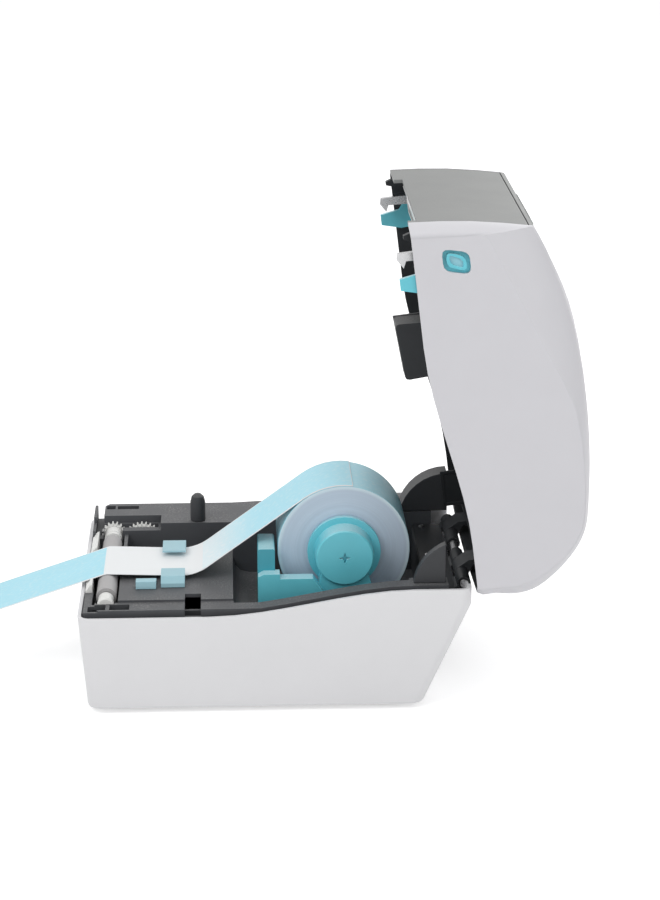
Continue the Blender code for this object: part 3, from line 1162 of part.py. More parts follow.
def latches(lid):
    inner = LINER_HALF - LATCH_POCKET + FIT
    outer = INNER_HALF - RUN_GAP
    for side in (1, -1):
        tag = "near" if side > 0 else "far"
        turn = pivot(f"{tag}_latch_axis", (side * inner, LATCH_PIVOT_Y, LATCH_PIVOT_Z), lid)
        lever = [(LATCH_PIVOT_Y - 0.007, LATCH_PIVOT_Z + 0.006),
                 (LATCH_PIVOT_Y + 0.006, LATCH_PIVOT_Z + 0.006),
                 (LATCH_PIVOT_Y + 0.008, LATCH_PIVOT_Z - 0.006), (LATCH_TAIL_Y + 0.0068,
                                                                  LATCH_TAIL_Z + 0.014),
                 (LATCH_TAIL_Y + 0.0030, LATCH_TAIL_Z), (LATCH_TAIL_Y - 0.0045, LATCH_TAIL_Z),
                 (LATCH_TAIL_Y - 0.0068, LATCH_TAIL_Z + 0.014), (LATCH_PAD_Y - 0.0115,
                                                                 LATCH_PAD_Z - 0.0125),
                 (LATCH_PAD_Y - 0.0135, LATCH_PAD_Z + 0.0100), (LATCH_PAD_Y - 0.0060, LATCH_PAD_Z + 0.0140)]
        body = prism(f"{tag}_release_latch", lever[::-1], *sorted((side * inner, side * outer)))
        pin = prism(f"{tag}_latch_pin", circle(LATCH_PIVOT_Y, LATCH_PIVOT_Z, 0.0030, 16),
                    *sorted((side * (inner - 0.0028), side * (inner + 0.001))))
        rim = prism(f"{tag}_latch_rim", latch_window(-0.0025),
                    *sorted((side * (outer - 0.001), side * (HALF - 0.0004))))
        cup = prism(f"{tag}_latch_cup", latch_window(-0.0045),
                    *sorted((side * (outer + 0.0004), side * (HALF + WALL))))
        fuse(body, pin, rim)
        carve(body, cup)
        hang(paint(body, "teal_touch"), turn)

        hook = [(HOOK_Y - 0.0030, LINER_BOTTOM_Z - 0.0045), (HOOK_Y + 0.0035, LINER_BOTTOM_Z - 0.0045),
                (HOOK_Y + 0.0025, 0.0680), (HOOK_Y + 0.0072, 0.0660), (HOOK_Y + 0.0010,
                                                                       0.0620), (HOOK_Y - 0.0030, 0.0630)]
        claw = prism(f"{tag}_latch_hook", hook, *sorted((side * (HOOK_X - HOOK_WIDTH / 2),
                                                         side * (HOOK_X + HOOK_WIDTH / 2))))
        foot = box(f"{tag}_hook_foot", *sorted((side * (HOOK_X - HOOK_WIDTH / 2), side * (inner - FIT))),
                   HOOK_Y - 0.0030, HOOK_Y + 0.0035, LINER_BOTTOM_Z - 0.0085, LINER_BOTTOM_Z - 0.0035)
        hang(paint(fuse(claw, foot), "steel"), turn)


def brow_place(x):
    """Middle of the sloping brow behind the front panel, and the way it faces."""
    middle, side, front_steps = lid_curves()
    low = Vector(lid_point(x, 0.0, front_steps, middle, side))
    high = Vector(lid_point(x, 0.0, front_steps + 3, middle, side))
    run = (high - low).normalized()
    inner = Vector(lid_point(x, 0.0, front_steps + 1, middle, side))
    return inner, Vector((0.0, -run.z, run.y)).normalized()


def button_places():
    return [brow_place(x) for x in (-BUTTON_SPACING, 0.0, BUTTON_SPACING)]


def button_plug(name, radius, centre, normal, above, below):
    """A round plug along a normal, from below the surface to above it."""
    item = turned(name, [(-below, 0.0), (-below, radius), (above, radius), (above, 0.0)], 0.0, 0.0, "Z", 20)
    turn = Vector((0, 0, 1)).rotation_difference(normal).to_matrix().to_4x4()
    item.data.transform(Matrix.Translation(centre) @ turn)
    return item


def control_buttons(lid):
    for name, (centre, normal) in zip(("power_button", "pause_button", "feed_button"), button_places()):
        cap = button_plug(name, BUTTON_RADIUS, centre, normal, BUTTON_PROUD, BUTTON_DEPTH)
        hang(paint(cap, "grey_panel"), pivot(f"{name}_axis", tuple(centre), lid))
    centre, normal = brow_place(2 * BUTTON_SPACING)
    hang(paint(button_plug("status_lamp", 0.0022, centre, normal, 0.0006, 2 * WALL), "lamp_clear"), lid)


def rear_ports():
    slope = REAR_UNDERCUT / (REAR_FACE_Z - FOOT_HEIGHT)
    low, high = PORT_LOW_Z + FIT, PORT_HIGH_Z - FIT

    def skin(z):
        return REAR - slope * (REAR_FACE_Z - z)

    tray = [(PORT_PLATE_Y - 2 * FIT, low), (skin(low), low), (skin(high), high),
            (PORT_PLATE_Y - 2 * FIT, high)]
    body = prism("rear_port_panel", tray, PORT_FAR_X + FIT, PORT_NEAR_X - FIT)
    plate = PORT_PLATE_Y + 0.0020
    pocket = box("port_pocket", PORT_FAR_X + 2 * WALL, PORT_NEAR_X - 2 * WALL, plate, REAR + WALL,
                 PORT_LOW_Z + WALL,
                 PORT_HIGH_Z - WALL)
    dc_hole = box("port_dc_hole", DC_X - DC_SIZE / 2 - FIT, DC_X + DC_SIZE / 2 + FIT, PORT_PLATE_Y - WALL,
                  plate + WALL,
                  PORT_Z - DC_SIZE / 2 - FIT, PORT_Z + DC_SIZE / 2 + FIT)
    usb_hole = box("port_usb_hole", USB_X - USB_SIZE / 2 - FIT, USB_X + USB_SIZE / 2 + FIT,
                   PORT_PLATE_Y - WALL,
                   plate + WALL, PORT_Z - USB_SIZE / 2 - FIT, PORT_Z + USB_SIZE / 2 + FIT)
    paint(carve(body, pocket, dc_hole, usb_hole), "dark_frame")

    start = PORT_PLATE_Y - 0.0110
    face = plate + 0.0008
    jack = box("power_inlet", DC_X - DC_SIZE / 2, DC_X + DC_SIZE / 2, start, face, PORT_Z - DC_SIZE / 2,
               PORT_Z + DC_SIZE / 2)
    mouth = [(start + 0.002, 0.0012), (start + 0.002, 0.0036), (face + 0.001, 0.0036),
             (face + 0.001, 0.0012)]
    carve(jack, turned("inlet_mouth", mouth, DC_X, PORT_Z, "Y", 16))
    paint(jack, "rubber_black")
    socket = box("data_socket", USB_X - USB_SIZE / 2, USB_X + USB_SIZE / 2, start, face,
                 PORT_Z - USB_SIZE / 2,
                 PORT_Z + USB_SIZE / 2)
    room = box("socket_room", USB_X - USB_SIZE / 2 + 0.001, USB_X + USB_SIZE / 2 - 0.001, start + 0.002,
               face + 0.001,
               PORT_Z - USB_SIZE / 2 + 0.001, PORT_Z + USB_SIZE / 2 - 0.001)
    tongue = box("socket_tongue", USB_X - 0.003, USB_X + 0.003, start + 0.001, face - 0.001,
                 PORT_Z - 0.0015,
                 PORT_Z + 0.0015)
    paint(fuse(carve(socket, room), tongue), "steel")


def main_board():
    """The circuit board, upright behind the port panel and standing on the housing's floor."""
    y = PORT_PLATE_Y - 0.0110 - FIT
    low = FOOT_HEIGHT + WALL + FIT
    board = box("main_board", PORT_FAR_X - 0.008, PORT_NEAR_X + 0.008, y - 0.0016, y, low,
                FRAME_BOTTOM_Z - FIT)
    paint(board, "board_green")


def main():
    clear_scene()
    base_housing()
    rubber_feet()
    inner_frame()
    front_bezel()
    guide_post()
    hinge_guards()
    platen_and_drive()
    label_roll()
    label_strip()
    roll_holders()
    media_guides()
    media_sensor()
    rear_ports()
    main_board()
    lid = pivot("lid_hinge", (0.0, HINGE_Y, HINGE_Z))
    lid.rotation_euler = (-LID_OPEN_ANGLE, 0.0, 0.0)
    hinge_pieces(lid)
    lid_shell(lid)
    lid_front_panel(lid)
    lid_liner(lid)
    head_pieces(lid)
    ribbon_pieces(lid)
    latches(lid)
    control_buttons(lid)


main()
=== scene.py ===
"""Looks of a desktop label printer with its lid open: finishes, rounded edges, fittings and a stage."""

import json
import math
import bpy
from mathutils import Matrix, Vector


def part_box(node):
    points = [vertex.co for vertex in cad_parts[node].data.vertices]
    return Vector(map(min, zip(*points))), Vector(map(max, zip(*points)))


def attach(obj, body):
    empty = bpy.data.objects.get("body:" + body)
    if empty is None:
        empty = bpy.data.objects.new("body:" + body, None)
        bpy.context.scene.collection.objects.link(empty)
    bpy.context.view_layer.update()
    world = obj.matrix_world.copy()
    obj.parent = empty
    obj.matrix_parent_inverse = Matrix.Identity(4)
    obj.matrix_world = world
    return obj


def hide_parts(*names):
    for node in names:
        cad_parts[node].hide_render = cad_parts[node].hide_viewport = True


bl_info = {
    "name": "Label Printer Looks",
    "version": (1, 0, 0),
    "blender": (4, 5, 0),
    "location": "View3D > Sidebar > Label Printer",
    "description": "Dresses the label printer's solids with finishes, rounded edges and small fittings",
    "category": "Object",
}

import bpy
from mathutils import Matrix, Vector
from mathutils.bvhtree import BVHTree

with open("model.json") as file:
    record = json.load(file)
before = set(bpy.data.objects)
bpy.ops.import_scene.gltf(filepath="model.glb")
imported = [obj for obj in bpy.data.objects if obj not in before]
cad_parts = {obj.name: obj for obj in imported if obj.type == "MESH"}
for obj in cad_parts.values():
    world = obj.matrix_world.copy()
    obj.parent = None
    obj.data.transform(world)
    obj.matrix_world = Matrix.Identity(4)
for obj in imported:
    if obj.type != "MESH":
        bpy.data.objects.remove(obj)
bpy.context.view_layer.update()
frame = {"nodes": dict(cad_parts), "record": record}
BODY_OF = {node: body for body, nodes in frame["record"]["behaviour"]["bodies"].items() for node in nodes}
SLOT_OF = {part["node"]: part["material_slot"] for part in frame["record"]["subparts"]}

MM = 0.001

# Least part of a normal along an axis for a face that looks along it, and for a sheer side of the lid
FACING = 0.9
SHEER = 0.999

# Angles at which edges are joined as flat, rounded as sharp or kept as a crease
FLAT_ANGLE = math.radians(0.8)
SHARP_ANGLE = math.radians(34.0)
LABEL_SHARP_ANGLE = math.radians(30.0)
LID_SHARP_ANGLE = math.radians(84.0)
CREASE_LEAST = math.radians(10.0)
CREASE_MOST = math.radians(30.0)

# Vertices of a solid that lie closer than this are one
MERGE_DISTANCE = 0.01 * MM

# The lid's crown: its top as a share of the lid's height, and how far its faces may lean forward
CROWN_SHARE = 0.86
CROWN_LEAN = -0.5

# The wound roll: sides of its circle, its plain rim, its rounding and the gap round its core
ROLL_STEPS = 192
ROLL_RIM = 0.6 * MM
ROLL_EDGE = 0.4 * MM
CORE_GAP = 0.3 * MM

# The layers that show at its ends: how many, how uneven, the slope's share of each and the wave they follow
ROLL_LAYERS = 9
ROLL_LIFT = 0.03 * MM
LAYER_SLOPE = 0.06
LAYER_TURN = 2.4

# The pale stretch of a label behind the platen, and the room before it
FADE_LENGTH = 42 * MM
FADE_ROOM = 20 * MM

# A screw's head, as shares of its radius
SCREW_STEPS = 36
SCREW_HEIGHT = 0.4
SCREW_CROWN = (0.3, 0.16)
SCREW_RECESS = (1.05, 0.26, 0.7)
SCREW_RECESS_HEIGHT = 0.6
SCREW_EDGE = 0.06

# Reach of worn edges, which also carry a painted highlight, how much paler they are at least, and the spread
# of a moulding's roughness
WEAR_AND_GLINT_RADIUS = 0.6 * MM
WEAR_AND_GLINT_LIFT = 0.01
ROUGHNESS_SPREAD = 0.05

# The print head's strip, as shares of its height: top of the cover, heater line and half its width
COVER_TOP = 0.42
HEATER_LINE = 0.78
HEATER_HALF = 0.025

WHITE = (1.0, 1.0, 1.0, 1.0)


# Sizes and colours a user would change

def length_property(name, description, default):
    return bpy.props.FloatProperty(name=name, description=description, default=default, min=0.0,
                                   unit="LENGTH", subtype="DISTANCE", precision=5)


def angle_property(name, description, degrees):
    return bpy.props.FloatProperty(name=name, description=description, default=math.radians(degrees),
                                   unit="ROTATION", subtype="ANGLE")


def colour_property(name, description, default):
    return bpy.props.FloatVectorProperty(name=name, description=description, default=default, size=3, min=0.0,
                                         max=1.0, subtype="COLOR")


class PrinterSizes(bpy.types.PropertyGroup):
    shell_edge: length_property("Shell edge", "Rounding of the white shells' edges", 0.7 * MM)
    frame_edge: length_property("Frame edge", "Rounding of the inner frame's edges", 0.35 * MM)
    small_edge: length_property("Small edge", "Rounding of small moulded pieces", 0.25 * MM)
    sheet_edge: length_property("Sheet edge", "Rounding of pressed steel edges", 0.1 * MM)
    label_margin: length_property("Label margin", "Bare backing beside a label", 1.6 * MM)
    label_thickness: length_property("Label thickness", "Height of a label above its backing", 0.12 * MM)
    bare_length: length_property("Bare length", "Backing behind the platen that has lost its label", 66 * MM)
    web_thickness: length_property("Web thickness", "Thickness of the lid's web beside the hinge", 2.0 * MM)
    screw_head: length_property("Screw head", "Radius of a screw's head", 2.0 * MM)
    tread_groove: length_property("Tread groove", "Depth of the groove in each foot", 0.5 * MM)
    button_dish: length_property("Button dish", "Depth of the dish in each button", 0.2 * MM)


class PrinterColours(bpy.types.PropertyGroup):
    shell: colour_property("Shell", "White moulded base", (0.75, 0.75, 0.765))
    # Painted shade: the lid is the base's white made darker for the lesser light that falls on it
    lid: colour_property("Lid", "White moulded lid, a touch greyer", (0.635, 0.63, 0.66))
    panel: colour_property("Front panel", "Grey front panel of the lid", (0.222, 0.227, 0.223))
    frame: colour_property("Frame", "Dark grey inner frame", (0.078, 0.081, 0.088))
    inner: colour_property("Inner black", "Black inner mouldings", (0.028, 0.030, 0.033))
    touch: colour_property("Touch teal", "Teal pieces a user touches", (0.135, 0.57, 0.67))
    pad: colour_property("Latch pad", "Paler teal face of the latches", (0.34, 0.64, 0.72))
    guard: colour_property("Guard", "Darker grey of the hinge guards", (0.042, 0.044, 0.048))
    # Painted shade: a darker teal for the shaded face of the roll holder's finger
    deep: colour_property("Deep teal", "Deeper teal on the roll holder's finger", (0.05, 0.33, 0.41))
    guide: colour_property("Guide teal", "Pale teal media guides", (0.33, 0.55, 0.62))
    label: colour_property("Label blue", "Pale blue labels", (0.43, 0.79, 0.91))
    winding: colour_property("Winding", "Side of the wound label roll", (0.50, 0.60, 0.71))
    backing: colour_property("Backing", "Glossy white backing paper", (0.84, 0.86, 0.87))
    card: colour_property("Card", "Cardboard of the roll's core", (0.42, 0.29, 0.17))
    steel: colour_property("Steel", "Pressed and turned steel", (0.62, 0.62, 0.63))
    platen: colour_property("Platen", "Pale grey platen rubber", (0.42, 0.41, 0.41))
    rubber: colour_property("Rubber", "Black rubber", (0.02, 0.02, 0.021))
    nylon: colour_property("Nylon", "White nylon gears and bearings", (0.78, 0.78, 0.76))
    board: colour_property("Board", "Green solder mask", (0.02, 0.13, 0.05))
    heater: colour_property("Heater", "Dark cover and line on the print head", (0.035, 0.022, 0.016))
    lamp: colour_property("Lamp", "Clear lamp lens, unlit", (0.50, 0.53, 0.52))


class PrinterStage(bpy.types.PropertyGroup):
    eye: bpy.props.FloatVectorProperty(name="Eye", description="Where the camera stands", size=3,
                                       unit="LENGTH", subtype="TRANSLATION",
                                       default=(1.64627, -0.02891, 0.67765))
    yaw: angle_property("Yaw", "Turn of the camera from straight across", 2.4516)
    pitch: angle_property("Pitch", "Downward tilt of the camera", 17.628)
    lens: bpy.props.FloatProperty(name="Lens", description="Focal length in mm on a 36 mm tall frame",
                                  default=98.067)
    floor_size: length_property("Floor size", "Side of the square floor", 16.0)


# Node trees

def add_node(tree, kind, settings=None, **values):
    """A node with its settings. A value that is a socket is wired to the input, any other is set on it."""
    made = tree.nodes.new(kind)
    for key, value in (settings or {}).items():
        setattr(made, key, value)
    for key, value in values.items():
        set_input(tree, made.inputs[key], value)
    return made


def set_input(tree, socket, value):
    if isinstance(value, bpy.types.NodeSocket):
        tree.links.new(value, socket)
    else:
        socket.default_value = value


def math_node(tree, operation, first, second=0.0, clamp=False):
    made = add_node(tree, "ShaderNodeMath", {"operation": operation, "use_clamp": clamp})
    set_input(tree, made.inputs[0], first)
    set_input(tree, made.inputs[1], second)
    return made.outputs[0]


def vector_math(tree, operation, *values):
    made = add_node(tree, "ShaderNodeVectorMath", {"operation": operation})
    for socket, value in zip(made.inputs, values):
        set_input(tree, socket, value)
    return made.outputs


def mix_colours(tree, factor, first, second):
    made = add_node(tree, "ShaderNodeMix", {"data_type": "RGBA"})
    set_input(tree, made.inputs[0], factor)
    for socket, value in ((made.inputs[6], first), (made.inputs[7], second)):
        set_input(tree, socket, value if isinstance(value, bpy.types.NodeSocket) else (*value[:3], 1.0))
    return made.outputs[2]


def map_range(tree, value, from_low, from_high, to_low=0.0, to_high=1.0, smooth=False):
    made = add_node(tree, "ShaderNodeMapRange", {"interpolation_type": "SMOOTHSTEP" if smooth else "LINEAR"})
    names = ("Value", "From Min", "From Max", "To Min", "To Max")
    for name, given in zip(names, (value, from_low, from_high, to_low, to_high)):
        set_input(tree, made.inputs[name], given)
    return made.outputs["Result"]


def noise(tree, spot, scale, detail, roughness=0.5):
    """The value of a noise texture at a spot."""
    made = add_node(tree, "ShaderNodeTexNoise", Vector=spot, Scale=scale, Detail=detail, Roughness=roughness)
    return made.outputs["Fac"]


def tinted(colour, share):
    return [min(part * share, 1.0) for part in colour]


def new_group(name, inputs, outputs):
    """A shader node group with its sockets: those that bring its inputs and those that take its values."""
    group = bpy.data.node_groups.new(name, "ShaderNodeTree")
    for label, kind in inputs.items():
        group.interface.new_socket(label, in_out="INPUT", socket_type=f"NodeSocket{kind}")
    for label in outputs:
        group.interface.new_socket(label, in_out="OUTPUT", socket_type="NodeSocketFloat")
    return group, group.nodes.new("NodeGroupInput").outputs, group.nodes.new("NodeGroupOutput").inputs


def moulded_grain_group():
    """Fine spark-eroded grain of moulded plastic, with the faint mottling of a big moulding."""
    inputs = {"Vector": "Vector", "Scale": "Float"}
    group, given, result = new_group("moulded_grain", inputs, ["Height", "Mottle"])
    spot = given["Vector"]
    fine = noise(group, spot, given["Scale"], 2.0, 0.6)
    broad = noise(group, spot, 26.0, 4.0, 0.55)
    group.links.new(fine, result["Height"])
    group.links.new(map_range(group, broad, 0.3, 0.7), result["Mottle"])
    return group


def edge_wear_and_glint_group():
    """Mask of worn edges, which also carry a painted highlight: where a rounded normal leaves the face's own,
    broken up by noise.
    """
    group, given, result = new_group("edge_wear", {"Vector": "Vector", "Radius": "Float"}, ["Mask"])
    rounded = add_node(group, "ShaderNodeBevel", {"samples": 4}, Radius=given["Radius"])
    plain = group.nodes.new("ShaderNodeNewGeometry")
    dot = vector_math(group, "DOT_PRODUCT", rounded.outputs["Normal"], plain.outputs["Normal"])
    edge = map_range(group, dot["Value"], 0.995, 0.80)
    patches = noise(group, given["Vector"], 160.0, 3.0)
    broken = map_range(group, patches, 0.35, 0.65, 0.25)
    group.links.new(math_node(group, "MULTIPLY", edge, broken, True), result["Mask"])
    return group


def dust_and_top_sheen_group():
    """Masks of faces that look up, which also carry a painted sheen, and of the dust that has settled on
    them.
    """
    group, given, result = new_group("settled_dust", {"Vector": "Vector", "Up": "Vector"}, ["Mask", "Facing"])
    spot = given["Vector"]
    upward = add_node(group, "ShaderNodeSeparateXYZ", Vector=given["Up"]).outputs["Z"]
    facing = map_range(group, upward, 0.5, 1.0)
    specks = map_range(group, noise(group, spot, 900.0, 3.0), 0.48, 0.72)
    clouds = map_range(group, noise(group, spot, 45.0, 3.0), 0.40, 0.65, 0.15)
    mask = math_node(group, "MULTIPLY", facing, math_node(group, "MULTIPLY", specks, clouds), True)
    group.links.new(mask, result["Mask"])
    group.links.new(facing, result["Facing"])
    return group


def brushed_group():
    """Fine drawn lines of brushed steel along X."""
    group, given, result = new_group("brushed_lines", {"Vector": "Vector"}, ["Lines"])
    stretch = add_node(group, "ShaderNodeMapping", Vector=given["Vector"], Scale=(40.0, 2400.0, 2400.0))
    group.links.new(noise(group, stretch.outputs["Vector"], 1.0, 3.0), result["Lines"])
    return group


GROUP_MAKERS = {"moulded_grain": moulded_grain_group, "edge_wear": edge_wear_and_glint_group,
                "settled_dust": dust_and_top_sheen_group, "brushed_lines": brushed_group}
GROUPS = {}


def use_group(tree, name, **values):
    """What a group gives for some values. It is made when it is first used."""
    if name not in GROUPS:
        GROUPS[name] = GROUP_MAKERS[name]()
    return add_node(tree, "ShaderNodeGroup", {"node_tree": GROUPS[name]}, **values).outputs


# Finishes

def new_material(name):
    """An empty material with its shader and its texture coordinates."""
    material = bpy.data.materials.new(name)
    material.use_nodes = True
    tree = material.node_tree
    tree.nodes.clear()
    output = tree.nodes.new("ShaderNodeOutputMaterial")
    shader = tree.nodes.new("ShaderNodeBsdfPrincipled")
    tree.links.new(shader.outputs["BSDF"], output.inputs["Surface"])
    return material, tree, shader, tree.nodes.new("ShaderNodeTexCoord").outputs


def wire_shader(tree, shader, tone, rough, height, strength, relief):
    """Wire a shader's colour and roughness, and a bump of a given strength and relief."""
    set_input(tree, shader.inputs["Base Color"], tone)
    set_input(tree, shader.inputs["Roughness"], rough)
    bump = add_node(tree, "ShaderNodeBump", Strength=strength, Distance=relief, Height=height)
    set_input(tree, shader.inputs["Normal"], bump.outputs["Normal"])


def moulded(name, colour, roughness=0.36, grain=2400.0, relief=0.02 * MM, wear=0.3, wear_and_glint_to=1.2, dust=0.0,
            painted_sheen=0.0, dust_and_sheen_tone=(0.45, 0.44, 0.42), mottle=0.05, gloss=0.5):
    """Moulded plastic: grain, faint mottling, paler worn edges with a painted highlight, a little dust and a
    painted sheen on faces that look up.
    """
    material, tree, shader, place = new_material(name)
    shader.inputs["Specular IOR Level"].default_value = gloss
    spot = place["Object"]
    grains = use_group(tree, "moulded_grain", Vector=spot, Scale=grain)
    edges = use_group(tree, "edge_wear", Vector=spot, Radius=WEAR_AND_GLINT_RADIUS)
    patches = grains["Mottle"]
    tone = mix_colours(tree, patches, tinted(colour, 1 - mottle), tinted(colour, 1 + mottle))
    # Paler edges: wear, and on the teal pieces also a painted highlight along their rims
    worn_and_glint = [min(part * wear_and_glint_to + WEAR_AND_GLINT_LIFT, 1.0) for part in colour]
    tone = mix_colours(tree, math_node(tree, "MULTIPLY", edges["Mask"], wear), tone, worn_and_glint)
    # Speckled dust on faces that look up, plus an even painted sheen there; on the teal and the frame the
    # dust also paints tops lighter as if lit
    if dust:
        dust_and_sheen_masks = use_group(tree, "settled_dust", Vector=spot, Up=place["Normal"])
        cover = math_node(tree, "MULTIPLY", dust_and_sheen_masks["Mask"], dust)
        sheen_cover = math_node(tree, "MULTIPLY", dust_and_sheen_masks["Facing"], painted_sheen)
        tone = mix_colours(tree, math_node(tree, "ADD", cover, sheen_cover, True), tone, dust_and_sheen_tone)
    rough = map_range(tree, patches, 0.0, 1.0, roughness - ROUGHNESS_SPREAD, roughness + ROUGHNESS_SPREAD)
    wire_shader(tree, shader, tone, rough, grains["Height"], 0.6, relief)
    return material


def metal(name, colour, roughness):
    """Drawn or pressed steel with fine lines and duller patches."""
    material, tree, shader, place = new_material(name)
    shader.inputs["Metallic"].default_value = 1.0
    spot = place["Object"]
    lines = use_group(tree, "brushed_lines", Vector=spot)["Lines"]
    patches = use_group(tree, "moulded_grain", Vector=spot, Scale=700.0)["Mottle"]
    tone = mix_colours(tree, lines, tinted(colour, 0.82), colour)
    drawn = map_range(tree, lines, 0.3, 0.7, roughness - 0.08, roughness + 0.08)
    dull = map_range(tree, patches, 0.0, 1.0, -0.04, 0.04)
    wire_shader(tree, shader, tone, math_node(tree, "ADD", drawn, dull), lines, 0.3, 0.01 * MM)
    return material


def fibres(tree, spot):
    """Short paper fibres."""
    return noise(tree, spot, 1400.0, 5.0, 0.7)


def paper(name, colour, roughness, depth):
    """Paper or card with short fibres, and the share of its colour in their depths."""
    material, tree, shader, place = new_material(name)
    fibre = fibres(tree, place["Object"])
    tone = mix_colours(tree, fibre, tinted(colour, depth), colour)
    rough = map_range(tree, fibre, 0.3, 0.7, roughness - 0.06, roughness + 0.06)
    wire_shader(tree, shader, tone, rough, fibre, 0.4, 0.02 * MM)
    return material


def print_line():
    """Where the middle of the platen lies along Y."""
    low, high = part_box("platen_rubber")
    return (low[1] + high[1]) / 2


def label_face(name, colour, pale):
    """Coated label paper, paler in specks and towards the platen."""
    material, tree, shader, place = new_material(name)
    spot = place["Object"]
    fibre = fibres(tree, spot)
    specks = map_range(tree, noise(tree, spot, 330.0, 2.0), 0.50, 0.70, 0.0, 0.22)
    clouds = noise(tree, spot, 22.0, 3.0)
    along = add_node(tree, "ShaderNodeSeparateXYZ", Vector=spot).outputs["Y"]
    start = print_line() + bpy.context.scene.printer_sizes.bare_length
    behind = math_node(tree, "GREATER_THAN", along, start - FADE_ROOM)
    fade = map_range(tree, along, start, start + FADE_LENGTH, 1.0, 0.0, True)
    near_platen = math_node(tree, "MULTIPLY", fade, behind)
    amount = math_node(tree, "ADD", math_node(tree, "MULTIPLY", near_platen, 0.9), specks, True)
    tone = mix_colours(tree, clouds, tinted(colour, 0.93), colour)
    tone = mix_colours(tree, amount, tone, pale)
    wire_shader(tree, shader, tone, map_range(tree, fibre, 0.3, 0.7, 0.42, 0.54), fibre, 0.35, 0.02 * MM)
    return material


def winding_side(name, colour, rim_highlight):
    """Side of a wound roll: fine rings of paper edges, paler at the rim as a painted highlight."""
    material, tree, shader, place = new_material(name)
    low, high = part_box("label_roll")
    centre = (low + high) / 2
    radius = (high[2] - low[2]) / 2
    moved = add_node(tree, "ShaderNodeMapping", Vector=place["Object"], Location=(0, -centre[1], -centre[2]))
    flat = vector_math(tree, "MULTIPLY", moved.outputs["Vector"], (0.0, 1.0, 1.0))
    reach = vector_math(tree, "LENGTH", flat["Vector"])["Value"]
    halves = []
    for scale, detail in ((5200.0, 2.0), (520.0, 3.0)):
        layer = add_node(tree, "ShaderNodeTexNoise", {"noise_dimensions": "1D"}, W=reach, Scale=scale,
                         Detail=detail)
        halves.append(math_node(tree, "MULTIPLY", layer.outputs["Fac"], 0.5))
    rings = math_node(tree, "ADD", *halves)
    tone = mix_colours(tree, map_range(tree, rings, 0.35, 0.65), tinted(colour, 0.95), tinted(colour, 1.04))
    # Painted highlight: the side grows paler towards the rim
    edge = map_range(tree, reach, radius - 3.5 * MM, radius - 0.8 * MM, 0.0, 0.75, True)
    tone = mix_colours(tree, edge, tone, rim_highlight)
    wire_shader(tree, shader, tone, map_range(tree, rings, 0.3, 0.7, 0.45, 0.62), rings, 0.35, 0.03 * MM)
    return material


def heater_strip(name, ceramic):
    """White ceramic with the print head's dark heater line and the dark cover of its driver chips."""
    material, tree, shader, place = new_material(name)
    spot = place["Object"]
    low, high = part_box("print_head")
    height = add_node(tree, "ShaderNodeSeparateXYZ", Vector=spot).outputs["Z"]
    grains = use_group(tree, "moulded_grain", Vector=spot, Scale=900.0)
    wave = math_node(tree, "MULTIPLY", grains["Height"], 0.02)
    share = math_node(tree, "ADD", map_range(tree, height, low[2], high[2]), wave)
    cover = math_node(tree, "LESS_THAN", share, COVER_TOP)
    from_line = math_node(tree, "ABSOLUTE", math_node(tree, "SUBTRACT", share, HEATER_LINE))
    mask = math_node(tree, "MAXIMUM", cover, math_node(tree, "LESS_THAN", from_line, HEATER_HALF))
    tone = mix_colours(tree, grains["Mottle"], tinted(ceramic, 0.96), ceramic)
    tone = mix_colours(tree, mask, tone, bpy.context.scene.printer_colours.heater)
    rough = map_range(tree, mask, 0.0, 1.0, 0.22, 0.4)
    wire_shader(tree, shader, tone, rough, grains["Height"], 0.3, 0.02 * MM)
    return material


# The coarse grain of the dark mouldings
COARSE = dict(roughness=0.55, grain=1700.0, relief=0.05 * MM, wear=0.35, wear_and_glint_to=1.7, mottle=0.10, gloss=0.35)

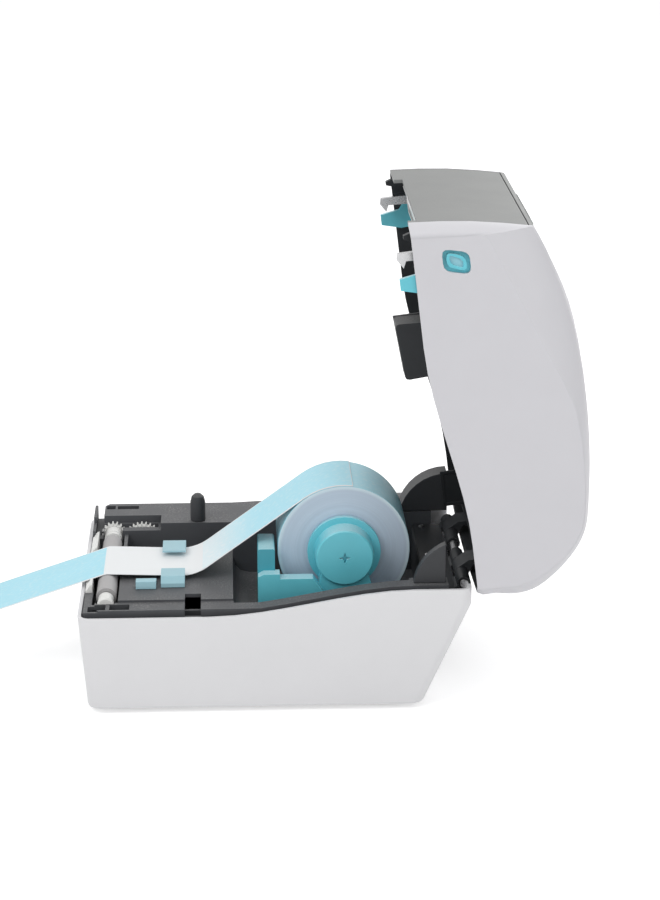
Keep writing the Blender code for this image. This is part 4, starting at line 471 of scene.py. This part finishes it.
# Each finish by its slot's name: its maker, its colour and what sets it apart
LOOKS = {
    "white_shell": (moulded, "shell", dict(
        roughness=0.42, grain=2600.0, wear=0.2, wear_and_glint_to=1.08, mottle=0.012)),
    # Painted shade: the lid's white is darker than the base's though it is the same plastic
    "lid_white": (moulded, "lid", dict(roughness=0.45, grain=2600.0, wear_and_glint_to=1.15, mottle=0.012)),
    "grey_panel": (moulded, "panel", dict(
        roughness=0.5, grain=1900.0, relief=0.04 * MM, wear=0.25, wear_and_glint_to=1.3, dust=0.05, mottle=0.03)),
    # Painted sheen on the upward faces of the frame and guards; on the frame the dust also paints its tops
    # lighter as if lit
    "dark_frame": (moulded, "frame", dict(COARSE, dust=0.36, painted_sheen=0.06)),
    "guard_grey": (moulded, "guard", dict(COARSE, dust=0.20, painted_sheen=0.12)),
    "black_inner": (moulded, "inner", dict(
        roughness=0.5, grain=1700.0, relief=0.04 * MM, wear_and_glint_to=2.2, dust=0.05, mottle=0.12, gloss=0.25)),
    "latch_face": (moulded, "pad", dict(wear=0.35, wear_and_glint_to=1.3)),
    # Painted sheen: a pale teal on faces that look up, with the dust; and a painted highlight along the
    # teal's edges with its wear
    "teal_touch": (moulded, "touch", dict(
        wear=0.75, wear_and_glint_to=1.6, dust=0.5, painted_sheen=0.45, dust_and_sheen_tone=(0.68, 0.84, 0.87))),
    # Painted shade: the finger's shaded face is given this darker teal
    "deep_teal": (moulded, "deep", dict(wear=0.4, wear_and_glint_to=1.5, dust=0.2)),
    "pale_teal": (moulded, "guide", dict(mottle=0.04)),
    "rubber_grey": (moulded, "platen", dict(
        roughness=0.62, grain=3000.0, relief=0.03 * MM, wear=0.2, wear_and_glint_to=1.1, mottle=0.04)),
    "rubber_black": (moulded, "rubber", dict(
        roughness=0.75, grain=2600.0, relief=0.04 * MM, wear_and_glint_to=2.0, dust=0.15, mottle=0.1)),
    "nylon_white": (moulded, "nylon", dict(roughness=0.38, wear=0.2, wear_and_glint_to=1.1, mottle=0.03)),
    "board_green": (moulded, "board", dict(roughness=0.35, grain=1200.0, wear_and_glint_to=1.6, mottle=0.1)),
    "lamp_clear": (moulded, "lamp", dict(
        roughness=0.15, grain=1200.0, relief=0.01 * MM, wear=0.2, mottle=0.03)),
    "label_blue": (label_face, "label", dict(pale=(0.80, 0.88, 0.905))),
    "backing": (paper, "backing", dict(roughness=0.42, depth=0.97)),
    "core_card": (paper, "card", dict(roughness=0.85, depth=0.94)),
    # Painted highlight: the roll's side paler towards its rim
    "winding": (winding_side, "winding", dict(rim_highlight=(0.66, 0.80, 0.86))),
    "heater_strip": (heater_strip, "nylon", {}),
    "steel": (metal, "steel", dict(roughness=0.32)),
}
FINISHES = {}


def finish(name):
    """A finish by its slot's name, made once."""
    if name not in FINISHES:
        maker, colour, settings = LOOKS[name]
        FINISHES[name] = maker(name, getattr(bpy.context.scene.printer_colours, colour), **settings)
    return FINISHES[name]


# Modelling helpers

def done():
    bpy.ops.object.mode_set(mode="OBJECT")


def deselect():
    if bpy.context.object and bpy.context.object.mode != "OBJECT":
        done()
    bpy.ops.object.select_all(action="DESELECT")


def activate(item):
    deselect()
    item.select_set(True)
    bpy.context.view_layer.objects.active = item


def edit(item):
    """Go into edit mode on a piece with no face selected."""
    activate(item)
    bpy.ops.object.mode_set(mode="EDIT")
    bpy.ops.mesh.select_mode(type="FACE")
    bpy.ops.mesh.select_all(action="DESELECT")


def pick_faces(item, wanted):
    """Select the faces that a test on centre and normal takes, and stay in edit mode."""
    edit(item)
    done()
    for face in item.data.polygons:
        face.select = bool(wanted(face.center, face.normal))
    bpy.ops.object.mode_set(mode="EDIT")


def inset_faces(item, wanted, steps, each=False):
    """Inset the faces that a test takes by a width and a rise for each step, and stay in edit mode."""
    pick_faces(item, wanted)
    for width, rise in steps:
        bpy.ops.mesh.inset(thickness=width, depth=rise, use_individual=each)


def apply_modifier(item, kind, **settings):
    """Give a piece a modifier with its settings, and apply it."""
    modifier = item.modifiers.new(kind.lower(), kind)
    for key, value in settings.items():
        setattr(modifier, key, value)
    activate(item)
    bpy.ops.object.modifier_apply(modifier=modifier.name)


def link_object(name, data):
    item = bpy.data.objects.new(name, data)
    bpy.context.scene.collection.objects.link(item)
    return item


def new_piece(name):
    """The shape that was just added, named and with its place, turn and scale applied."""
    bpy.ops.object.transform_apply(location=True, rotation=True, scale=True)
    bpy.context.object.name = name
    return bpy.context.object


def surface_of(mesh):
    return BVHTree.FromPolygons([v.co for v in mesh.vertices], [f.vertices for f in mesh.polygons])


def skin_of(node):
    """A copy of a solid's mesh as one merged skin, with its flat areas joined."""
    source = frame["nodes"].get(node)
    if source is None:
        raise RuntimeError(f"the frame has no node {node}")
    piece = link_object(f"{node}_skin", source.data.copy())
    piece.data.materials.clear()
    activate(piece)
    if piece.data.has_custom_normals:
        bpy.ops.mesh.customdata_custom_splitnormals_clear()
    bpy.ops.object.mode_set(mode="EDIT")
    bpy.ops.mesh.select_all(action="SELECT")
    bpy.ops.mesh.remove_doubles(threshold=MERGE_DISTANCE)
    bpy.ops.mesh.dissolve_limited(angle_limit=FLAT_ANGLE)
    done()
    return piece


def round_edges(item, width, segments=2):
    """Shade a piece and round its sharp edges, with the flat faces kept flat beside them."""
    activate(item)
    bpy.ops.object.shade_smooth_by_angle(angle=SHARP_ANGLE)
    apply_modifier(item, "BEVEL", width=width, segments=segments, limit_method="ANGLE",
                   angle_limit=SHARP_ANGLE, use_clamp_overlap=True, miter_outer="MITER_ARC",
                   harden_normals=True)
    return item


def paint(item, slots, pick):
    """Give a piece its finishes, and each face the one whose number a test picks."""
    for slot in slots:
        item.data.materials.append(finish(slot))
    for face in item.data.polygons:
        face.material_index = int(pick(face))


def settle(item, body, slot, *nodes):
    """Carry a finished piece on its body, with its finish, in place of the nodes it stands for."""
    if not item.data.materials:
        item.data.materials.append(finish(slot))
    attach(item, body)
    if nodes:
        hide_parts(*nodes)
    return item


def stand_in(item, node, width, segments=2):
    """Round a piece's edges and put it in place of its solid."""
    return settle(round_edges(item, width, segments), BODY_OF[node], SLOT_OF[node], node)


def dress(node, width, look=None):
    """Put a rounded skin in place of its solid, in its slot's finish or in a look of its own."""
    piece = skin_of(node)
    if look:
        piece.data.materials.append(finish(look))
    return stand_in(piece, node, width)


def curve_crown(lid, low, high):
    """Curve the lid's crown and rear corner between the loft's stations, within the shell's own box."""
    middle = (low + high) / 2
    brow = low[2] + CROWN_SHARE * (high[2] - low[2])

    def is_crown(place, normal):
        outward = normal.dot(place - middle) > 0 and normal[1] > CROWN_LEAN
        return outward and abs(normal[0]) < SHEER and place[2] < brow

    mesh = lid.data
    loft = surface_of(mesh)
    pick_faces(lid, is_crown)
    bpy.ops.mesh.quads_convert_to_tris()
    bpy.ops.mesh.subdivide(number_cuts=2, smoothness=1.0)
    done()
    curved = {number for face in mesh.polygons if face.select for number in face.vertices}
    above = {number for face in mesh.polygons if face.center[2] >= brow for number in face.vertices}
    for number in curved & above:
        mesh.vertices[number].co = loft.find_nearest(mesh.vertices[number].co)[0]
    for vertex in mesh.vertices:
        vertex.co = [min(max(value, least), most) for value, least, most in zip(vertex.co, low, high)]


def soften_shoulders(lid, width):
    """Round the lid's rims, let its shoulders blend into its sides and keep the crease of each side crisp."""
    activate(lid)
    bpy.ops.object.shade_smooth_by_angle(angle=LID_SHARP_ANGLE)
    faces_at = {}
    for face in lid.data.polygons:
        for key in face.edge_keys:
            faces_at.setdefault(key, []).append(face.normal)
    edit(lid)
    bpy.ops.mesh.select_mode(type="EDGE")
    done()
    for edge in lid.data.edges:
        normals = faces_at[edge.key]
        beside_side = max(abs(normal[0]) for normal in normals) > SHEER
        edge.select = beside_side and CREASE_LEAST < normals[0].angle(normals[-1]) < CREASE_MOST
    bpy.ops.object.mode_set(mode="EDIT")
    bpy.ops.mesh.mark_sharp()
    done()
    apply_modifier(lid, "BEVEL", width=width, segments=2, limit_method="ANGLE", angle_limit=LID_SHARP_ANGLE)
    apply_modifier(lid, "WEIGHTED_NORMAL", weight=100, keep_sharp=True)


def seat_on(node, start, along):
    """Where a line from a start first meets a solid, and which way the face there looks."""
    tree = surface_of(frame["nodes"][node].data)
    place, normal, *_ = tree.ray_cast(Vector(start), Vector(along))
    if place is None:
        raise RuntimeError(f"no seat on {node}")
    return place, normal


def cross_screw(radius):
    """A pan-head screw with a cross recess, standing on the origin and looking up."""
    height = SCREW_HEIGHT * radius
    deselect()
    bpy.ops.mesh.primitive_cylinder_add(vertices=SCREW_STEPS, radius=radius, depth=height,
                                        location=(0, 0, height / 2))
    screw = new_piece("screw_pattern")
    crown = [share * radius for share in SCREW_CROWN]
    inset_faces(screw, lambda place, normal: normal[2] > FACING, [crown])
    done()
    for turn in (0.0, math.pi / 2):
        deselect()
        bpy.ops.mesh.primitive_cube_add(size=1.0, location=(0, 0, SCREW_RECESS_HEIGHT * radius),
                                        rotation=(0, 0, turn),
                                        scale=[share * radius for share in SCREW_RECESS])
        bar = bpy.context.object
        apply_modifier(screw, "BOOLEAN", object=bar, operation="DIFFERENCE", solver="EXACT")
        bpy.data.objects.remove(bar)
    return round_edges(screw, SCREW_EDGE * radius)


def fit_copy(pattern, name, place, normal, turn):
    """A copy of a small fitting, with its own mesh, stood on a face."""
    piece = link_object(name, pattern.data.copy())
    stand = normal.to_track_quat("Z", "Y").to_matrix().to_4x4() @ Matrix.Rotation(turn, 4, "Z")
    piece.data.transform(Matrix.Translation(place) @ stand)
    return piece


def wound_ring(name, node, bore):
    """A wound roll: a bar with its ends inset in uneven layers, then bored through."""
    low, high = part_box(node)
    radius = (high[2] - low[2]) / 2
    deselect()
    bpy.ops.mesh.primitive_cylinder_add(vertices=ROLL_STEPS, radius=radius, depth=high[0] - low[0],
                                        rotation=(0, math.pi / 2, 0), location=(low + high) / 2)
    piece = new_piece(name)
    step = (radius - bore - ROLL_RIM) / ROLL_LAYERS
    steps = [(ROLL_RIM, 0.0)]
    for layer in range(ROLL_LAYERS):
        steps.append((step * LAYER_SLOPE, ROLL_LIFT * math.sin(LAYER_TURN * layer + 1.0)))
        steps.append((step * (1 - LAYER_SLOPE), 0.0))
    inset_faces(piece, lambda place, normal: abs(normal[0]) > FACING, steps, each=True)
    bpy.ops.mesh.delete(type="FACE")
    bpy.ops.mesh.select_mode(type="EDGE")
    bpy.ops.mesh.select_all(action="DESELECT")
    bpy.ops.mesh.select_non_manifold()
    bpy.ops.mesh.bridge_edge_loops()
    bpy.ops.mesh.select_all(action="SELECT")
    bpy.ops.mesh.normals_make_consistent(inside=False)
    done()
    return piece


def label_plate(name, start, end):
    """One label: the strip's upper face between two places along Y, trimmed at its sides and thickened."""
    sizes = bpy.context.scene.printer_sizes
    low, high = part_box("label_strip")
    piece = skin_of("label_strip")
    least_upward = 0.3
    pick_faces(piece, lambda place, normal: normal[2] < least_upward)
    bpy.ops.mesh.delete(type="FACE")
    cuts = (((0, start, 0), (0, -1, 0)),
            ((0, end, 0), (0, 1, 0)),
            ((low[0] + sizes.label_margin, 0, 0), (-1, 0, 0)),
            ((high[0] - sizes.label_margin, 0, 0), (1, 0, 0)))
    for place, away in cuts:
        bpy.ops.mesh.select_all(action="SELECT")
        bpy.ops.mesh.bisect(plane_co=place, plane_no=away, clear_outer=True)
    done()
    piece.name = name
    piece.data.name = name
    apply_modifier(piece, "SOLIDIFY", thickness=sizes.label_thickness, offset=1.0)
    bpy.ops.object.shade_smooth_by_angle(angle=LABEL_SHARP_ANGLE)
    return piece


# Operators, one for each piece or group of like pieces

class PrinterPiece:
    """What the operators share: they make shapes of their own, then dress each of their nodes."""
    bl_options = {"REGISTER", "UNDO"}
    nodes = ()
    edge = "small_edge"
    looks = {}

    def shape(self, sizes):
        """Make the pieces that take more than a rounded skin."""

    def execute(self, context):
        sizes = context.scene.printer_sizes
        self.shape(sizes)
        for node in self.nodes:
            dress(node, getattr(sizes, self.edge), self.looks.get(node))
        return {"FINISHED"}


class PRINTER_OT_shells(PrinterPiece, bpy.types.Operator):
    """Round and finish the white base housing and lid shell"""
    bl_idname = "printer.shells"
    bl_label = "Shells"
    nodes = ("base_housing",)
    edge = "shell_edge"
    brow_upward = 0.85

    def shape(self, sizes):
        node = "lid_shell"
        lid = skin_of(node)
        low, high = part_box(node)
        panel_low, panel_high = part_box("lid_front_panel")
        middle = (low + high) / 2
        curve_crown(lid, low, high)

        def look_of(face):
            outward = face.select or face.normal.dot(face.center - middle) > 0
            by_panel = abs(face.center[0]) < panel_high[0] and face.center[2] > panel_low[2]
            brow = by_panel and face.normal[2] > self.brow_upward
            return 1 if not outward else 2 if brow else 0

        # Painted shade: the lid's outside takes a white darker than the base's
        paint(lid, ("lid_white", "black_inner", "grey_panel"), look_of)
        soften_shoulders(lid, sizes.shell_edge)
        settle(lid, BODY_OF[node], SLOT_OF[node], node)


class PRINTER_OT_front_panel(PrinterPiece, bpy.types.Operator):
    """Round and finish the lid's grey front panel and its tear bar"""
    bl_idname = "printer.front_panel"
    bl_label = "Front Panel"
    nodes = ("lid_front_panel", "tear_bar")


class PRINTER_OT_frame(PrinterPiece, bpy.types.Operator):
    """Round and finish the inner frame, its guards, post and bezel"""
    bl_idname = "printer.inner_frame"
    bl_label = "Inner Frame"
    nodes = ("inner_frame", "near_hinge_guard", "far_hinge_guard", "lid_guide_post", "front_bezel")
    edge = "frame_edge"
    looks = dict.fromkeys(("near_hinge_guard", "far_hinge_guard", "lid_guide_post"), "guard_grey")


class PRINTER_OT_hinge(PrinterPiece, bpy.types.Operator):
    """Finish the hinge plate, its rod and the lid's arms, and add the lid's web beside them"""
    bl_idname = "printer.hinge"
    bl_label = "Hinge"
    nodes = ("base_hinge_plate", "hinge_rod", "lid_hinge_arm_1", "lid_hinge_arm_2")
    web_turn = math.radians(-83.0)
    web_behind_rod = 4.9 * MM
    web_above_rod = 25.9 * MM
    web_sides = (26.7 * MM, 19.0 * MM)
    web_recess = ((2.2 * MM, 0.0), (0.3 * MM, -0.4 * MM))

    def shape(self, sizes):
        rod_low, rod_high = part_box("hinge_rod")
        axis = (rod_low + rod_high) / 2
        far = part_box("base_hinge_plate")[0][0] + sizes.web_thickness
        deselect()
        bpy.ops.mesh.primitive_cube_add(
            size=1.0, rotation=(self.web_turn, 0.0, 0.0), scale=(sizes.web_thickness, *self.web_sides),
            location=(far, axis[1] + self.web_behind_rod, axis[2] + self.web_above_rod))
        web = new_piece("lid_hinge_web")
        inset_faces(web, lambda place, normal: abs(normal[0]) > FACING, self.web_recess, each=True)
        done()
        settle(round_edges(web, sizes.small_edge), "lid", "black_inner")


class PRINTER_OT_platen(PrinterPiece, bpy.types.Operator):
    """Finish the platen, its bearings and the gear train"""
    bl_idname = "printer.platen"
    bl_label = "Platen and Gears"
    nodes = ("platen_shaft", "platen_rubber", "platen_bearing_near", "platen_bearing_far", "platen_gear",
             "idler_gear", "idler_axle", "motor_pinion", "drive_motor")


class PRINTER_OT_label_roll(PrinterPiece, bpy.types.Operator):
    """Wind the label roll, finish its core and lay labels on the strip"""
    bl_idname = "printer.label_roll"
    bl_label = "Label Roll"
    nodes = ("roll_core",)
    edge = "sheet_edge"
    end_facing = 0.5
    rear_facing = 0.7
    front_margin = 2.0 * MM
    platen_margin = 3.0 * MM
    rear_margin = 0.5 * MM

    def shape(self, sizes):
        low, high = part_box("roll_core")
        roll = wound_ring("wound_labels", "label_roll", (high[2] - low[2]) / 2 + CORE_GAP)
        paint(roll, ("label_blue", "winding"), lambda face: abs(face.normal[0]) > self.end_facing)
        stand_in(roll, "label_roll", ROLL_EDGE, segments=3)
        backing = skin_of("label_strip")
        paint(backing, ("backing", "label_blue"), lambda face: face.normal[1] > self.rear_facing)
        stand_in(backing, "label_strip", sizes.sheet_edge)
        low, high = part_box("label_strip")
        line = print_line()
        front = label_plate("front_label", low[1] + self.front_margin, line - self.platen_margin)
        rear = label_plate("next_label", line + sizes.bare_length, high[1] - self.rear_margin)
        for label in (front, rear):
            settle(label, BODY_OF["label_strip"], "label_blue")


class PRINTER_OT_holders(PrinterPiece, bpy.types.Operator):
    """Finish the roll holders, media guides and sensor"""
    bl_idname = "printer.holders"
    bl_label = "Holders and Guides"
    nodes = ("far_roll_holder", "near_media_guide", "far_media_guide", "media_sensor")
    looks = {"media_sensor": "pale_teal"}
    finger_length = 12 * MM

    def shape(self, sizes):
        node = "near_roll_holder"
        holder = skin_of(node)
        low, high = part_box(node)
        finger_end = low[1] + self.finger_length
        half_height = (low[2] + high[2]) / 2

        # Painted shade: the face of the finger that looks out is given a darker teal
        def is_shaded_finger_face(face):
            on_finger = face.center[1] < finger_end and face.center[2] > half_height
            return on_finger and face.normal[0] > FACING

        paint(holder, ("teal_touch", "deep_teal"), is_shaded_finger_face)
        stand_in(holder, node, sizes.small_edge)


class PRINTER_OT_lid_inside(PrinterPiece, bpy.types.Operator):
    """Finish the liner, print head and ribbon parts inside the lid"""
    bl_idname = "printer.lid_inside"
    bl_label = "Lid Inside"
    nodes = ("lid_liner", "head_bracket", "head_carrier", "head_leaf_spring", "ribbon_carriage",
             "ribbon_side_plate", "ribbon_supply_hub_near", "ribbon_supply_hub_far", "ribbon_takeup_hub_near",
             "ribbon_takeup_hub_far")
    looks = {"ribbon_carriage": "guard_grey"}
    strip_recess = ((0.6 * MM, 0.0), (0.15 * MM, -0.15 * MM))

    def shape(self, sizes):
        node = "print_head"
        head = skin_of(node)
        inset_faces(head, lambda place, normal: normal[1] < -FACING, self.strip_recess)
        done()
        paint(head, (SLOT_OF[node], "heater_strip"), lambda face: face.select)
        stand_in(head, node, sizes.sheet_edge)


class PRINTER_OT_latches(PrinterPiece, bpy.types.Operator):
    """Finish the release latches, with their paler recessed pads, and their hooks"""
    bl_idname = "printer.latches"
    bl_label = "Latches"
    nodes = ("near_latch_hook", "far_latch_hook")

    def shape(self, sizes):
        for side, node in ((1, "near_release_latch"), (-1, "far_release_latch")):
            latch = skin_of(node)

            def level(face):
                """How far out an outward face lies, to a tenth of a millimetre."""
                return round(side * face.center[0], 4) if side * face.normal[0] > FACING else None

            levels = {level(face) for face in latch.data.polygons} - {None}
            pad = sorted(levels)[-2]
            paint(latch, ("teal_touch", "latch_face"), lambda face: level(face) == pad)
            stand_in(latch, node, sizes.small_edge)


class PRINTER_OT_controls(PrinterPiece, bpy.types.Operator):
    """Dish and finish the buttons, and finish the lamp, on the lid's brow"""
    bl_idname = "printer.controls"
    bl_label = "Buttons"
    nodes = ("status_lamp",)
    buttons = ("power_button", "pause_button", "feed_button")
    top_tilt = 0.4
    top_area = 20 * MM * MM
    top_facing = 0.99
    top_reach = 1.0 * MM
    dish_rim = 0.9 * MM
    dish_slope = 0.5 * MM

    def shape(self, sizes):
        dish = ((self.dish_rim, 0.0), (self.dish_slope, -sizes.button_dish))
        for node in self.buttons:
            button = skin_of(node)
            tops = [face for face in button.data.polygons
                    if face.normal[1] > self.top_tilt and face.area > self.top_area]
            top = max(tops, key=lambda face: face.center.dot(face.normal))
            centre = top.center.copy()
            ahead = top.normal.copy()

            def is_top(place, normal):
                return normal.dot(ahead) > self.top_facing and (place - centre).length < self.top_reach

            inset_faces(button, is_top, dish)
            done()
            stand_in(button, node, sizes.small_edge / 2)


class PRINTER_OT_back(PrinterPiece, bpy.types.Operator):
    """Finish the port panel, sockets, board and feet, with a groove in each foot's tread"""
    bl_idname = "printer.back"
    bl_label = "Ports and Feet"
    nodes = ("rear_port_panel", "power_inlet", "data_socket", "main_board")
    feet = tuple(f"rubber_foot_{number}" for number in range(1, 5))
    tread_rim = 2.0 * MM
    groove_slope = 0.3 * MM
    groove_floor = 0.9 * MM
    tread_height = 0.2 * MM

    def shape(self, sizes):
        tread = ((self.tread_rim, 0.0), (self.groove_slope, -sizes.tread_groove), (self.groove_floor, 0.0),
                 (self.groove_slope, sizes.tread_groove))

        def is_tread(place, normal):
            return normal[2] < -FACING and place[2] < self.tread_height

        for node in self.feet:
            foot = skin_of(node)
            inset_faces(foot, is_tread, tread)
            done()
            stand_in(foot, node, sizes.small_edge)


class PRINTER_OT_screws(bpy.types.Operator):
    """Make one screw and set copies of it where the mouldings are held"""
    bl_idname = "printer.screws"
    bl_label = "Screws"
    port_inset = 7.4 * MM
    plate_inset = 6.0 * MM
    liner_inset = 6.5 * MM
    liner_heights = (60 * MM, 140 * MM)
    foot_inset = 22 * MM
    outside = 0.3
    below = -0.1
    turn_step = 0.4

    def seats(self):
        """For each node that takes screws, which way a line to a seat runs and where each line starts."""
        port_low, port_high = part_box("rear_port_panel")
        plate_low, plate_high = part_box("base_hinge_plate")
        liner_low, liner_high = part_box("lid_liner")
        foot_low, foot_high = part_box("rubber_foot_4")
        port_sides = (port_low[0] + self.port_inset, port_high[0] - self.port_inset)
        port_height = (port_low[2] + port_high[2]) / 2
        plate_middle = (plate_low[0] + plate_high[0]) / 2
        plate_sides = (plate_low[0] + self.plate_inset, plate_middle, plate_high[0] - self.plate_inset)
        liner_sides = (liner_low[0] + self.liner_inset, liner_high[0] - self.liner_inset)
        plate_front = plate_low[1] + self.plate_inset
        foot_side = foot_low[0] - self.foot_inset
        return {
            "rear_port_panel": ((0, -1, 0), [(x, self.outside, port_height) for x in port_sides]),
            "base_hinge_plate": ((0, 0, -1), [(x, plate_front, self.outside) for x in plate_sides]),
            "lid_liner": ((0, 1, 0), [(x, 0.0, liner_low[2] + z) for x in liner_sides
                                      for z in self.liner_heights]),
            "base_housing": ((0, 0, 1), [(x, y, self.below) for x in (-foot_side, foot_side)
                                         for y in (-foot_high[1], foot_low[1])]),
        }

    def execute(self, context):
        pattern = cross_screw(context.scene.printer_sizes.screw_head)
        number = 0
        for node, (along, starts) in self.seats().items():
            for start in starts:
                number += 1
                place, normal = seat_on(node, start, along)
                screw = fit_copy(pattern, f"screw_{number}", place, normal, self.turn_step * number)
                settle(screw, BODY_OF[node], "steel")
        bpy.data.objects.remove(pattern)
        return {"FINISHED"}


# Stage

# Each lamp's place, the height it aims at over the origin, its size and its power
LAMPS = {
    "key_lamp": dict(place=(1.1, -1.3, 1.7), aim_height=0.1, size=1.2, power=14.0),
    "top_lamp": dict(place=(0.1, 0.1, 2.0), aim_height=0.1, size=1.4, power=5.0),
    "fill_lamp": dict(place=(1.6, 1.1, 0.9), aim_height=0.15, size=1.2, power=5.0),
    "back_lamp": dict(place=(-1.5, 1.0, 1.3), aim_height=0.15, size=1.2, power=9.0),
}
FLOOR_GLOW = 0.45
WORLD_LIGHT = 0.60
FRAME_HEIGHT_MM = 36.0


def seen_rays(tree):
    """One for rays from the camera and for those that a glossy or clear surface sends on."""
    path = tree.nodes.new("ShaderNodeLightPath")
    seen = math_node(tree, "MAXIMUM", path.outputs["Is Camera Ray"], path.outputs["Is Glossy Ray"])
    return math_node(tree, "MAXIMUM", seen, path.outputs["Is Transmission Ray"])


def floor_material():
    """A pale floor that shows as white round the object's shadow."""
    material, tree, shader, _ = new_material("studio_floor")
    shader.inputs["Base Color"].default_value = (0.88, 0.88, 0.88, 1.0)
    shader.inputs["Roughness"].default_value = 0.9
    shader.inputs["Emission Color"].default_value = WHITE
    glow = math_node(tree, "MULTIPLY", seen_rays(tree), FLOOR_GLOW)
    set_input(tree, shader.inputs["Emission Strength"], glow)
    return material


def studio_world(scene):
    """A world that looks white and lights the scene with less."""
    world = bpy.data.worlds.new("studio")
    world.use_nodes = True
    tree = world.node_tree
    tree.nodes.clear()
    output = tree.nodes.new("ShaderNodeOutputWorld")
    light = add_node(tree, "ShaderNodeBackground", Color=WHITE, Strength=WORLD_LIGHT)
    white = add_node(tree, "ShaderNodeBackground", Color=WHITE, Strength=1.0)
    choose = tree.nodes.new("ShaderNodeMixShader")
    for socket, source in zip(choose.inputs, (seen_rays(tree), light.outputs[0], white.outputs[0])):
        tree.links.new(source, socket)
    tree.links.new(choose.outputs[0], output.inputs["Surface"])
    scene.world = world


def soft_lamp(name, place, aim_height, size, power):
    data = bpy.data.lights.new(name, "AREA")
    data.shape = "DISK"
    data.size = size
    data.energy = power
    lamp = link_object(name, data)
    lamp.location = place
    aim = Vector((0.0, 0.0, aim_height))
    lamp.rotation_euler = (aim - Vector(place)).to_track_quat("-Z", "Y").to_euler()


def photo_camera(stage):
    """The camera, turned by its yaw and tilted down by its pitch, looking across from the printer's side."""
    data = bpy.data.cameras.new("photo_camera")
    data.sensor_fit = "VERTICAL"
    data.sensor_height = FRAME_HEIGHT_MM
    data.lens = stage.lens
    data.clip_start = 0.05
    camera = link_object("photo_camera", data)
    level = math.cos(stage.pitch)
    ahead = Vector((-level * math.cos(stage.yaw), level * math.sin(stage.yaw), -math.sin(stage.pitch)))
    right = Vector((math.sin(stage.yaw), math.cos(stage.yaw), 0.0))
    turn = Matrix((right, right.cross(ahead), -ahead)).transposed()
    camera.matrix_world = Matrix.Translation(Vector(stage.eye)) @ turn.to_4x4()
    bpy.context.scene.camera = camera


class PRINTER_OT_stage(bpy.types.Operator):
    """Lay the floor, hang the lamps and set up the camera"""
    bl_idname = "printer.stage"
    bl_label = "Stage"

    def execute(self, context):
        stage = context.scene.printer_stage
        deselect()
        bpy.ops.mesh.primitive_plane_add(size=stage.floor_size, location=(0.0, 0.0, 0.0))
        floor = context.object
        floor.name = "studio_floor"
        floor.data.materials.append(floor_material())
        studio_world(context.scene)
        for name, settings in LAMPS.items():
            soft_lamp(name, **settings)
        context.scene.view_settings.view_transform = "Standard"
        photo_camera(stage)
        return {"FINISHED"}


class PRINTER_PT_looks(bpy.types.Panel):
    """Lists the printer's pieces, sizes and colours"""
    bl_idname = "PRINTER_PT_looks"
    bl_label = "Label Printer"
    bl_space_type = "VIEW_3D"
    bl_region_type = "UI"
    bl_category = "Label Printer"

    def draw(self, context):
        column = self.layout.column(align=True)
        for operator in OPERATORS:
            column.operator(operator.bl_idname)
        for setting in SETTINGS:
            group = getattr(context.scene, setting)
            box = self.layout.box()
            for name in group.__annotations__:
                box.prop(group, name)


OPERATORS = (PRINTER_OT_stage, PRINTER_OT_shells, PRINTER_OT_front_panel, PRINTER_OT_frame, PRINTER_OT_hinge,
             PRINTER_OT_platen, PRINTER_OT_label_roll, PRINTER_OT_holders, PRINTER_OT_lid_inside,
             PRINTER_OT_latches, PRINTER_OT_controls, PRINTER_OT_back, PRINTER_OT_screws)
SETTINGS = {"printer_sizes": PrinterSizes, "printer_colours": PrinterColours, "printer_stage": PrinterStage}


def register():
    for cls in (*SETTINGS.values(), *OPERATORS, PRINTER_PT_looks):
        bpy.utils.register_class(cls)
    for name, cls in SETTINGS.items():
        setattr(bpy.types.Scene, name, bpy.props.PointerProperty(type=cls))


def unregister():
    for name in SETTINGS:
        delattr(bpy.types.Scene, name)
    for cls in (PRINTER_PT_looks, *reversed(OPERATORS), *reversed(SETTINGS.values())):
        bpy.utils.unregister_class(cls)


def main():
    register()
    for operator in OPERATORS:
        group, name = operator.bl_idname.split(".")
        getattr(getattr(bpy.ops, group), name)()


if __name__ == "__main__":
    main()
